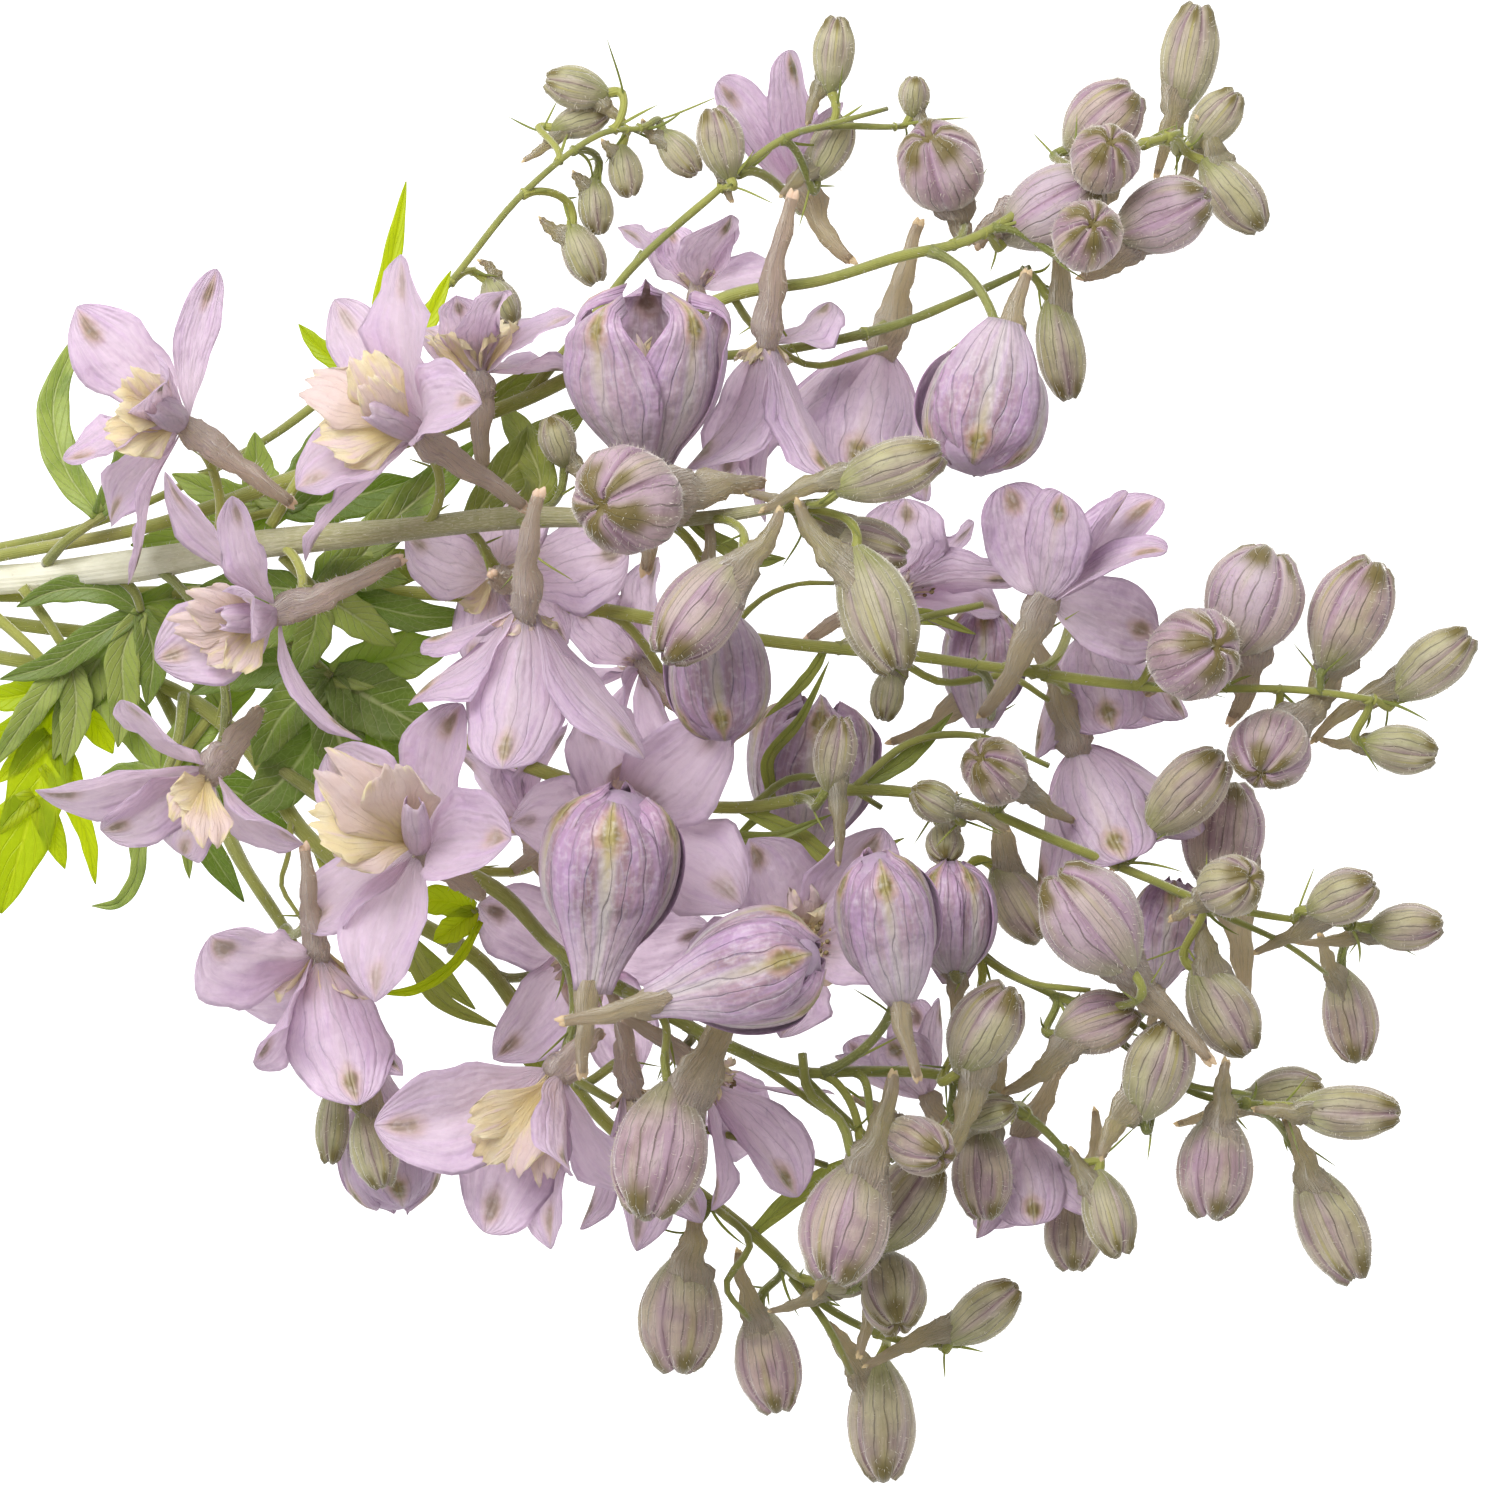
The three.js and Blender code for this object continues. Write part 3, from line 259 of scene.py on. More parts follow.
# The flowers that lie uppermost, sepal by sepal: x, y, z of the tip, half width, how far the sepal bends from
# root to tip in degrees, how hollow it is, and its turn about its own midrib in degrees.
SHAPED = {
    1: [(77.4, 44.8, 56, 8, 22, 0.9, 0), (101.6, 51, 62, 3.8, 34, 1, 74), (92.6, 31.5, 74, 6, 58, 2.4, 0),
        (75.6, 20.6, 57, 7.4, 20, 1, 14), (87.4, -1, 54, 5.4, 30, 1, 32), (83.2, 9, 46, 6.4, 36, 1.2, -6)],
    2: [(131.7, 53.6, 74, 7.6, 22, 1, 0), (122.6, 47.4, 64, 5.8, 30, 1.2, 10), (145, 30.8, 90, 8, 62, 2, 8),
        (114.6, 15.4, 74, 7.8, 22, 1, -8), (115.8, 3.4, 69, 5, 38, 1, 36)],
    3: [(160.6, 44.6, 54, 5.8, 26, 1.2, 10), (160.2, 34.6, 42, 7.4, 20, 1.2, 0),
        (140.6, 47.6, 58, 5.4, 30, 1.2, 0), (149.6, 48.6, 62, 5.2, 30, 1.4, 0),
        (135.8, 42.2, 42, 6, 26, 1.2, 0)],
    5: [(92.6, 17.6, 63, 5.8, 12, 1, 8), (104.2, 13.8, 74, 4, 30, 0.8, 46),
        (91.6, -14.6, 62, 7.8, 44, 1.4, 0), (124.8, -27.4, 64, 5.8, 66, 1, 18),
        (107.4, -3.2, 84, 5.6, 44, 2.4, 0)],
    6: [(133.4, -20.4, 66, 8.2, 16, 1.6, 0), (150.6, -32.4, 80, 8.6, 24, 2.4, 0),
        (172.8, -29.6, 70, 8.4, 18, 1.6, 0), (136.8, -10, 58, 7, 16, 1.4, 0),
        (163, -17, 54, 7.4, 20, 1.6, 0)],
    7: [(85.6, -20, 60, 8, 22, 1.2, 0), (71.2, -36.4, 52, 6.6, 14, 1.4, 10),
        (115.4, -44, 58, 6.4, 20, 1.4, 0), (82, -42.6, 46, 6.6, 26, 1.2, -10),
        (96, -46.6, 44, 5.8, 24, 1.2, 0)],
    8: [(118.8, -29.6, 54, 7.6, 26, 1, 0), (140.6, -20, 62, 7.2, 20, 1.2, 0),
        (149.6, -44.6, 74, 8.4, 34, 1.4, 8), (127, -70, 58, 8.6, 34, 1.6, 0),
        (115.6, -58.6, 48, 7.4, 24, 1.2, 0)],
    9: [(100, -60, 50, 10.4, 44, 2.2, 56), (107, -80.8, 46, 7.4, 20, 1.4, 50),
        (123.6, -87.6, 50, 8.8, 20, 1.6, 0), (132.8, -82.2, 42, 5, 24, 1.4, 8),
        (102.6, -70, 34, 9, 20, 1.4, 56)],
    10: [(127.6, -91.6, 50, 9.4, 44, 1.8, 58), (143.6, -107.6, 40, 8.4, 24, 1.4, 0),
         (158.2, -111.4, 44, 7.6, 20, 1.4, 0), (160.6, -99.6, 60, 6.8, 22, 1.6, 0),
         (172, -103.6, 38, 7.6, 22, 1.4, 0)],
    12: [(150, 18, 36, 7.4, 20, 1.4, 0), (132, 6, 40, 7, 20, 1.4, 0), (160, -10, 36, 7.4, 20, 1.4, 0),
         (170, 3, 38, 8.4, 20, 1.4, 0), (143, -14, 32, 7, 20, 1.4, 0)],
    13: [(203, 16, 56, 6.8, 18, 1.4, 0), (179.6, 17.4, 50, 9.4, 30, 1.8, 0),
         (193.2, 9.8, 44, 9.4, 22, 2, 0), (184.4, 16, 36, 7.6, 24, 1.4, 0), (203, 46, 33, 6.6, 24, 1.4, 0)],
    16: [(184.4, 84, 18, 6.6, 8, 1.6, -48), (198, 89.4, 20, 6.6, -10, 2, 0),
         (204.4, 79.6, 22, 6.2, -20, 2, 0), (189, 78, 9, 6.6, 10, 1.6, 0), (196, 82.6, 10, 6.6, 0, 1.6, 0)],
    17: [(167.8, 59.4, 16, 7.6, 16, 1.4, -20), (186.4, 61.4, 20, 8, 14, 1.4, 0),
         (196, 52, 14, 6.6, 16, 1.2, 30), (176, 60, 9, 5.6, 14, 1.2, 0), (188, 61, 9, 5.6, 14, 1.2, 0)],
    18: [(242.2, 14.4, 62, 6.6, -16, 1.8, 0), (252.6, 14.4, 55, 6, -8, 1.8, 0),
         (232.6, 15.8, 50, 7.6, -6, 1.8, -52), (259.4, 6, 58, 5, 30, 1.2, 30),
         (256.4, 14.8, 44, 7, -10, 2, 0), (257.6, -8.4, 36, 7.4, -10, 1.8, 60)],
    20: [(235, 2.6, 26, 5.2, 16, 1.4, 20), (216.6, 13.6, 30, 7.4, 16, 1, 66), (228, 10, 20, 7, 16, 1.4, 0),
         (232, -4, 18, 7, 16, 1.4, 0), (224, -9, 20, 6, 16, 1.4, 0)],
    24: [(187.6, -24.6, 50, 8.8, 24, 1.4, 0), (189.6, -52.6, 47, 9.8, 26, 1.4, 0),
         (162, -22, 48, 8.4, 30, 1.2, 0), (150, -40, 46, 7.4, 36, 1.2, 0),
         (168, -61.4, 40, 8.6, 32, 1.2, 0)],
    27: [(217.6, -60.4, 44, 8, 26, 1.4, 0), (196, -76.4, 40, 7.4, 28, 1.2, 0),
         (190, -43, 42, 9, 28, 1.2, 0), (180, -68, 36, 9.4, 28, 1.2, 0),
         (210.6, -40.6, 36, 7.8, 26, 1.2, 0)],
    30: [(150, -18, 24, 7, 20, 1.2, 0), (140, -28, 24, 7, 20, 1.2, 0), (158, -24, 28, 7, 20, 1.2, 0),
         (166, -36, 24, 7, 20, 1.2, 0), (140, -42, 20, 6, 20, 1.2, 0)],
    31: [(197.4, -103.4, 32, 8.8, 24, 1.4, 10), (185, -105.4, 24, 8.8, 22, 1.4, 0),
         (204, -86, 24, 6.6, 22, 1.2, 0), (192, -94, 16, 7, 22, 1.2, 0), (180, -102, 15, 6.6, 22, 1.2, 0)],
    33: [(171.6, -112.4, 22, 7, 22, 1.4, 0), (161, -108, 22, 6.6, 22, 1.4, 0),
         (182, -107.4, 24, 6.4, 22, 1.4, 0), (166, -106, 14, 6.4, 22, 1.2, 0),
         (178, -104, 14, 6.4, 22, 1.2, 0)],
    37: [(160, -4, 26, 6.6, 20, 1.2, 0), (160, -20, 28, 6.6, 20, 1.2, -30), (174, 4, 26, 6.6, 20, 1.2, 0),
         (168, -26, 30, 7.4, 20, 1.2, 0), (178, -28, 28, 6.6, 20, 1.2, 0)],
}

# Larger bracts, by the stalk that carries them: route, half width.
BRACTS = {
    "branch_level": [
        ([(188.3, -42.5, 24), (193.3, -36.7, 26), (193, -30, 29), (198.3, -23.3, 33),
          (203.3, -13.3, 37)], 1.1),
        ([(120, -2, 28), (130, 2, 27), (141, 3, 27)], 3.2),
        ([(203, -10.5, 37), (200.5, -15, 35), (197, -19, 33), (192.4, -23, 31)], 1),
        ([(205, -11, 37), (212, -8, 32), (219, -6, 28), (228, -9, 25)], 1.6),
    ],
    "main_stem": [
        ([(143, 9, 54), (149, 17, 44), (156, 24, 33), (163, 29, 26)], 3.6),
        ([(150, 10, 56), (155, 16, 45), (152, 24, 36), (148, 30, 30)], 3),
        ([(180, 9.6, 61), (186, 5.6, 55), (191, 3.4, 50), (196, 3.6, 46)], 1.6),
    ],
    "branch_upper": [
        ([(146, 28, 38), (150, 32, 36), (156.6, 34.4, 33)], 2),
    ],
    "branch_right": [
        ([(176, -38, 31), (184, -42, 33), (193, -43, 34), (204, -39, 35)], 1.2),
        ([(188, -38, 34), (197, -42, 32), (205, -47, 29), (216, -43, 27)], 1.6),
        ([(207, -35, 35), (216, -30, 33), (224, -22, 30)], 1.4),
    ],
    "branch_low": [
        ([(118, -45, 19), (126, -58, 16), (135, -64, 15), (144, -72, 14)], 3),
        ([(124, -50, 20), (132, -60, 22), (138, -70, 22), (148, -75, 20)], 1.8),
        ([(150, -71, 20), (153, -79, 16), (161, -86, 14)], 2.2),
        ([(190, -110, 14), (198, -103, 16), (208, -98, 18), (218, -100, 18)], 1.8),
    ],
}

# Leaves: name, young or not, route of the stalk, then the lobes: route, half width, pairs of side teeth.
LEAVES = [
    ("leaf_01", False, [(72, 3, 22), (76, 7, 29), (82, 11, 31)], [
        ([(81, 11, 31), (75.4, 19, 29), (73.4, 30, 26), (78.4, 43, 25)], 3, 0),
        ([(81, 11, 31), (85, 18, 31), (86, 27, 30)], 2.4, 0)]),
    ("leaf_02", True, [(110, 9, 43), (118, 22, 43), (126, 34, 33)], [
        ([(126, 34, 33), (129, 48, 31), (132.5, 67, 30)], 1.9, 0),
        ([(126, 34, 33), (119, 38, 30), (114.4, 43, 28)], 1.7, 0),
        ([(126, 34, 33), (135, 42, 30), (140, 52, 28)], 1.8, 0)]),
    ("leaf_03", False, [(84, 1, 27), (87, -2, 26), (88, -5, 25)], [
        ([(88, -5, 25), (82, -1.6, 26), (74, -1.6, 25), (67, -4.4, 24)], 2.4, 0),
        ([(88, -5, 25), (85, -12, 24), (85, -20, 22), (84, -28, 21)], 3, 0),
        ([(88, -5, 25), (90, -12, 24), (89, -21, 22)], 2.8, 0),
        ([(88, -5, 25), (80, -9.5, 24), (73, -14, 21), (64, -16.5, 19)], 2.6, 0),
        ([(88, -5, 24), (92, -9, 21), (97, -14, 19), (101, -21, 17)], 3.2, 0),
        ([(88, -5, 23), (81, -13, 19), (77, -20, 17), (73, -30, 15)], 4, 0),
        ([(87, -4, 22), (94, -3, 20), (103, -5, 19), (111, -9, 18)], 3, 0)]),
    ("leaf_04", True, [(60, -3, 14), (70, -12, 15), (74, -17, 15)], [
        ([(74, -16, 15), (72, -28, 14), (68, -43, 12), (64, -56, 10)], 5.2, 2),
        ([(74, -17, 15), (79, -22, 14), (83, -29, 13)], 3.4, 0),
        ([(71, -31, 14), (78, -41, 12), (80, -51, 10)], 1.6, 0),
        ([(74, -16, 15), (68, -19, 13), (60, -20, 11)], 2.8, 0),
        ([(73, -20, 15), (62, -29, 12), (55, -40, 9)], 2.6, 0)]),
    ("leaf_05", False, [(68, -1, 21), (73, -8, 21), (76, -13, 20)], [
        ([(76, -13, 20), (70, -21, 19), (63, -31, 17)], 2.5, 0),
        ([(76, -13, 20), (77, -21, 19), (75, -31, 18)], 2.8, 0),
        ([(76, -13, 19), (82, -18, 17), (87, -25, 16), (91, -33, 15)], 3.8, 0)]),
    ("leaf_06", False, [(95, -19, 17), (94, -27, 22), (91, -35, 24)], [
        ([(91, -35, 24), (88, -44, 24), (87, -50, 24), (84, -54, 23), (79.5, -54.5, 22)], 1.3, 0),
        ([(91, -35, 24), (95, -42, 22), (96, -50, 20)], 1.4, 0)]),
    ("leaf_07", False, [(100, 5, 33), (105, 10, 28), (112, 12, 25)], [
        ([(112, 12, 25), (108, 17, 24), (107, 25, 24)], 3.2, 0),
        ([(112, 12, 25), (116, 18, 25), (119, 27, 25)], 3.5, 0),
        ([(112, 12, 25), (123, 14, 26), (134, 17, 27)], 3.8, 0),
        ([(112, 12, 25), (102, 14, 23), (93, 18, 21)], 3, 0),
        ([(112, 12, 24), (104, 9, 23), (95, 7, 22), (86, 6, 21)], 3.6, 0)]),
    ("leaf_08", False, [(112, 4, 42), (116, 0, 40), (118, -2, 38)], [
        ([(118, -2, 38), (124, 1, 37), (133, 0, 36)], 3.2, 0),
        ([(118, -2, 38), (124, -6, 36), (131, -11, 34)], 3.2, 0),
        ([(118, -2, 38), (117, -9, 36), (114, -16, 34)], 3.2, 0),
        ([(118, -2, 38), (126, 5, 35), (132, 12, 32), (137, 19, 30)], 3.4, 0),
        ([(118, -2, 37), (128, 8, 34), (137, 16, 31), (145, 24, 29)], 3.6, 0),
        ([(118, -2, 37), (121, 3, 33), (128, 6, 30)], 3, 0),
        ([(118, -2, 38), (108, -1, 36), (98, -1, 34)], 3.2, 0),
        ([(118, -2, 37), (112, -7, 33), (104, -9, 30), (96, -9, 27)], 3.5, 0),
        ([(118, -2, 37), (126, -4, 34), (135, -6, 33), (144, -6, 31)], 3, 0)]),
    ("leaf_09", False, [(107, -6, 24), (114, -11, 27), (120, -16, 28)], [
        ([(120, -16, 28), (127, -20, 28), (138, -26, 27)], 6, 0),
        ([(120, -16, 28), (130, -13, 27), (140, -11, 26)], 4.5, 0),
        ([(120, -16, 28), (121, -26, 27), (126, -37, 25)], 4.5, 0),
        ([(120, -16, 28), (112, -22, 26), (107, -31, 24)], 4.2, 0),
        ([(120, -16, 27), (112, -14, 25), (104, -15, 23), (96, -19, 21)], 4, 0),
        ([(120, -16, 27), (117, -26, 24), (111, -34, 21), (104, -39, 19)], 5, 0),
        ([(120, -16, 27), (128, -27, 25), (134, -35, 23)], 4, 0)]),
    ("leaf_10", False, [(99, -23, 14), (94, -30, 16), (92, -34, 16)], [
        ([(92, -34, 16), (97, -42, 11), (105, -54, 9)], 2.8, 0),
        ([(92, -34, 16), (89, -40, 14), (86, -47, 12)], 2.5, 0),
        ([(92, -34, 16), (86, -33, 15), (80, -34, 13)], 2.8, 0),
        ([(92, -34, 15), (99, -34, 13), (107, -37, 11), (114, -42, 10)], 3.5, 0),
        ([(92, -34, 15), (95, -27, 14), (100, -22, 13), (107, -18, 12)], 3.5, 0)]),
    ("leaf_11", True, [(140, -62, 22), (142, -58, 27), (144, -55, 30)], [
        ([(144, -55, 30), (138, -53.4, 31), (131, -54.6, 31)], 2.6, 0),
        ([(144, -55, 30), (140.6, -58, 30), (137, -60.4, 29)], 2.4, 0),
        ([(145, -57, 30), (140.6, -64, 31), (134, -68.4, 31), (127, -69, 30)], 1, 0)]),
]


# ------------------------------------------------------------------ finishes

class Value:
    """A number that varies over a surface. Sums and products of it add Math nodes."""

    def __init__(self, finish, socket):
        self.finish, self.socket = finish, socket

    def math(self, operation, *values):
        inputs = dict(enumerate(values))
        return self.finish.node("ShaderNodeMath", {"operation": operation}, inputs)

    def __add__(self, other):
        return self.math("ADD", self, other)

    def __mul__(self, other):
        return self.math("MULTIPLY", self, other)

    def __sub__(self, other):
        return self.math("SUBTRACT", self, other)

    def __rsub__(self, other):
        return self.math("SUBTRACT", other, self)

    def __pow__(self, other):
        return self.math("POWER", self, other)

    __radd__ = __add__
    __rmul__ = __mul__

    def size(self):
        return self.math("ABSOLUTE", self)

    def wave(self, span):
        """Up and down between 0 and span."""
        return self.math("PINGPONG", self, span)

    def step(self, low, high):
        """Rises smoothly from 0 at low to 1 at high."""
        inputs = {"Value": self, "From Min": low, "From Max": high}
        return self.finish.node("ShaderNodeMapRange", {"interpolation_type": "SMOOTHSTEP"}, inputs)


class Finish:
    """A material made of nodes."""

    def __init__(self, name):
        self.material = bpy.data.materials.new(name)
        self.material.use_nodes = True
        self.tree = self.material.node_tree
        self.tree.nodes.clear()

    def node(self, kind, settings, values, output=0):
        node = self.tree.nodes.new(kind)
        for key, value in settings.items():
            setattr(node, key, value)
        for key, value in values.items():
            if isinstance(value, Value):
                self.tree.links.new(value.socket, node.inputs[key])
            else:
                node.inputs[key].default_value = value
        return Value(self, node.outputs[output]) if node.outputs else None

    def mark(self, name):
        """A number that each piece's mesh carries, such as its age."""
        return self.node("ShaderNodeAttribute", {"attribute_name": name}, {}, "Fac")

    def space(self, kind):
        """The space of a pattern: Object, which is the piece's own, or UV."""
        return self.node("ShaderNodeTexCoord", {}, {}, kind)

    def along(self):
        """Across and along, from 0 to 1, from the UV map."""
        split = self.node("ShaderNodeSeparateXYZ", {}, {"Vector": self.space("UV")})
        return split, Value(self, split.socket.node.outputs["Y"])

    def stretched(self, x, y):
        """UV space drawn out, for a pattern that runs along a petal or a stalk."""
        return self.node("ShaderNodeMapping", {}, {"Vector": self.space("UV"), "Scale": (x, y, 1.0)})

    def noise(self, scale, detail):
        inputs = {"Vector": self.space("Object"), "Scale": scale, "Detail": detail}
        return self.node("ShaderNodeTexNoise", {}, inputs, "Fac")

    def grain(self, x, y, detail=2, rough=0.5):
        """Noise over UV space drawn out."""
        inputs = {"Vector": self.stretched(x, y), "Scale": 1.0, "Detail": detail, "Roughness": rough}
        return self.node("ShaderNodeTexNoise", {"noise_dimensions": "2D"}, inputs, "Fac")

    def net(self, x, y, width):
        """Fine veins that join in a net, over UV space drawn out."""
        settings = {"feature": "DISTANCE_TO_EDGE", "voronoi_dimensions": "2D"}
        inputs = {"Vector": self.stretched(x, y), "Scale": 1.0}
        return 1 - self.node("ShaderNodeTexVoronoi", settings, inputs, "Distance").step(0.0, width)

    def blend(self, share, low, high):
        """Two colours mixed. Each is given as its screen values or is a blend itself."""
        inputs = {0: share, 6: rgb(low), 7: rgb(high)}
        return self.node("ShaderNodeMix", {"data_type": "RGBA"}, inputs, 2)

    def layers(self, colour, *layers):
        """A colour with others laid over it in turn, each with the share that it covers."""
        for share, tint in layers:
            colour = self.blend(share, colour, tint)
        return colour

    def bump(self, height, strength, distance=0.0002):
        inputs = {"Height": height, "Strength": strength, "Distance": distance}
        return self.node("ShaderNodeBump", {}, inputs)

    def plain(self, colour, roughness, normal, **extra):
        inputs = {"Base Color": colour, "Roughness": roughness, "Normal": normal}
        inputs.update(extra)
        return self.node("ShaderNodeBsdfPrincipled", {}, inputs)

    def leafy(self, colour, through, share, roughness, normal, clear=0.6, **extra):
        """Tissue that reflects colour and lets a share of light through, tinted, and less where it is dark."""
        surface = self.plain(colour, roughness, normal, **extra)
        glow = self.node("ShaderNodeBsdfTranslucent", {}, {"Color": rgb(through), "Normal": normal})
        lightness = self.node("ShaderNodeRGBToBW", {}, {"Color": colour})
        inputs = {0: lightness.step(-0.1, clear) * share, 1: surface, 2: glow}
        return self.done(self.node("ShaderNodeMixShader", {}, inputs))

    def done(self, surface):
        self.node("ShaderNodeOutputMaterial", {}, {"Surface": surface})
        return self.material


def rgb(colour):
    """A colour from its screen values, 0 to 255. A socket's value passes as it is."""
    if isinstance(colour, Value):
        return colour
    return (*(((c / 255 + 0.055) / 1.055) ** 2.4 if c > 10 else c / 255 / 12.92 for c in colour), 1.0)


# A soft light rim, as fine hairs give.
FUZZ = {"Sheen Weight": 1.0, "Sheen Roughness": 0.3, "Sheen Tint": (1.0, 0.97, 0.92, 1.0)}


def sepal_finish():
    f = Finish("lilac_sepal")
    u, v = f.along()
    inner, tone, age = f.mark("inner"), f.mark("tone"), f.mark("age")
    outer = 1 - inner
    across = (u - 0.5).size() * 2
    blotch = f.noise(140, 2)
    wobble = f.grain(5, 2.2) - 0.5
    broken = f.grain(13, 4).step(0.38, 0.66)
    main_vein = 1 - ((u + wobble * 0.16) * 6).wave(0.5).step(0.0, 0.07)
    shade = (tone * 0.5 + blotch * 0.9 - 0.12).step(0.0, 1.0)
    ripe = f.blend(blotch.step(0.35, 0.7), (160, 128, 144), (126, 98, 106))
    streaks, silk = f.grain(9, 1.6, 3, 0.6), f.grain(22, 3, 3, 0.65)
    broad = (across + (f.grain(2.5, 2.5) - 0.5) * 0.8).step(0.25, 1.0)
    pale = (1 - v.step(0.05, 0.5)) * (0.45 + 0.4 * inner) * (1 - age * 0.5)
    rib = (1 - across.step(0.02, 0.22)) * outer * (0.3 + 0.4 * age)
    strength = (0.08 + outer * (0.2 + 0.5 * age)) * (1 - v.step(0.7, 0.94))
    reach = ((v - 0.85).size() * 9) ** 2 + (across * 3.6) ** 2 + (f.noise(420, 1) - 0.5) * 1.2
    strong = 0.62 + 0.38 * (tone + age).step(0.2, 0.7)
    streak = (1 - across.step(0.0, 0.16)) * v.step(0.3, 0.8) * outer * (0.15 + 0.8 * age)
    colour = f.layers(
        f.blend(shade, (242, 236, 243), (210, 190, 210)),
        (age * 1.3, ripe),
        (streaks.step(0.44, 0.72) * 0.5, (194, 160, 200)),
        (broad * (0.28 + 0.2 * age), (188, 152, 200)),
        (pale, (253, 250, 250)),
        (silk.step(0.5, 0.75) * (0.4 - 0.3 * age), (252, 248, 252)),
        (rib, (230, 226, 220)),
        (f.net(19, 7, 0.11) * (0.4 + 0.6 * broken) * (0.2 + 0.22 * outer), (152, 132, 166)),
        (main_vein * strength * (0.3 + 0.7 * broken), (106, 96, 120)),
        (across.step(0.84, 1.0) * (0.25 + 0.65 * age), (176, 138, 172)),
        (v.step(0.8, 1.0) * 0.35 * (0.4 + age), (182, 144, 176)),
        ((1 - reach.step(0.2, 2.4)) * 0.7 * strong, (188, 152, 122)),
        ((1 - reach.step(0.0, 1.0)) * (0.6 + 0.4 * outer) * strong, (104, 90, 30)),
        (streak, (172, 158, 98)),
        (f.noise(900, 2).step(0.45, 0.75) * 0.2, (255, 250, 252)))
    ribs = ((u + wobble * 0.08) * 12).wave(0.5)
    crumple = f.grain(5, 3.5, 2, 0.6)
    height = ribs * (0.5 - 0.45 * age) + f.noise(360, 2) * 1.4 + crumple * 2.2 + main_vein * outer * -0.6
    normal = f.bump(height, 0.65, 0.0006)
    return f.leafy(colour, (243, 230, 240), 0.93 - 0.42 * age, 0.44, normal, 1.0, **{"Sheen Weight": 0.15})


def spur_finish():
    f = Finish("spur_skin")
    _, v = f.along()
    tone, age, green = f.mark("tone"), f.mark("age"), f.mark("inner")
    creases = f.grain(14, 5, 4, 0.6)
    dry = f.blend(tone * 0.35, (230, 200, 206), (240, 216, 188))
    crease = f.blend((green * 1.6).step(0.0, 1.0), (148, 112, 120), (138, 130, 66))
    colour = f.layers(
        f.blend(age * 0.7, (236, 216, 228), (200, 172, 188)),
        (green, (188, 184, 128)),
        (f.noise(260, 3).step(0.3, 0.7) * 0.35, (188, 160, 168)),
        (v.step(0.15, 0.6) * 0.9, f.blend((green * 1.8).step(0.0, 1.0), dry, (216, 208, 128))),
        (creases.step(0.46, 0.7) * 0.58, crease),
        (f.grain(7, 12, 3, 0.6).step(0.52, 0.7) * 0.4, (244, 228, 206)),
        (v.step(0.66, 1.0) * 0.6, (242, 222, 196)))
    normal = f.bump(creases * 1.6 + f.noise(700, 2) * 0.35, 1.0, 0.0014)
    return f.leafy(colour, (247, 231, 204), 0.66, 0.62, normal, 0.9, **FUZZ)


def bud_finish():
    f = Finish("bud_skin")
    u, v = f.along()
    tone, age, under = f.mark("tone"), f.mark("age"), f.mark("inner")
    across = (u - 0.5).size() * 2
    blotch = f.noise(190, 3)
    wobble = f.grain(3, 3) - 0.5
    green = f.blend(blotch.step(0.3, 0.7), (188, 186, 146), (138, 138, 96))
    opening = age.step(1.05, 1.4)
    fresh = f.blend(age.step(0.75, 1.0), (196, 168, 170), (200, 176, 188))
    fresh = f.blend(opening, fresh, (222, 206, 222))
    mauve = f.blend(blotch.step(0.3, 0.68), fresh, f.blend(opening, (146, 118, 130), (182, 158, 180)))
    ripe = (age * 1.1 + (blotch - 0.5) * 1.1 + (tone - 0.5) * 0.5 + (v - 0.5) * 0.4 - 0.12).step(0.0, 1.0)
    stripe = under.step(0.3, 0.9) * (1 - across.step(0.75, 1.0))
    broken = f.grain(9, 3).step(0.3, 0.6)
    vein = (1 - ((u + wobble * 0.14) * 4.5).wave(0.5).step(0.0, 0.08)) * (0.4 + 0.6 * broken)
    thread = 1 - ((u + wobble * 0.1) * 9.5).wave(0.5).step(0.0, 0.16)
    rib = (1 - (across + wobble * 0.1).step(0.04, 0.28)) * v.step(0.2, 0.8)
    tip = (1 - (across + wobble * 0.3).step(0.3, 0.9)) * v.step(0.72, 0.9)
    colour = f.layers(
        green,
        (ripe * (0.35 + 0.65 * v.step(0.05, 0.5)), mauve),
        (across.step(0.45, 1.0) * (1 - under) * (0.3 + 0.5 * age), (168, 136, 162)),
        (stripe * (0.15 + 0.25 * age), (218, 202, 188)),
        (f.grain(16, 2.5, 3, 0.65).step(0.52, 0.74) * 0.36, (232, 222, 216)),
        (vein * 0.8 * (1 - under * 0.4), (82, 74, 64)),
        (thread * 0.3 * broken, (96, 86, 82)),
        (f.net(13, 6, 0.1) * 0.34 * broken, (112, 102, 92)),
        ((1 - v.step(0.0, 0.34)) * (0.75 - 0.3 * age), (132, 138, 62)),
        (rib * (0.45 + 0.35 * under) * (1 - age.step(0.75, 1.0) * 0.5), (158, 152, 74)),
        (tip * 0.95, (96, 84, 26)),
        # Darker sepal edges: partly their own darker margin, partly painted shade in the seams where the
        # sepals meet.
        (across.step(0.82, 1.0) * v.step(0.25, 0.9) * 0.7, (104, 74, 84)))
    normal = f.bump(f.noise(900, 1) * 0.35 + vein * -0.6 + f.noise(300, 2) * 0.9, 0.65, 0.0005)
    return f.leafy(colour, (238, 222, 208), 0.62, 0.58, normal, 0.9, **FUZZ)


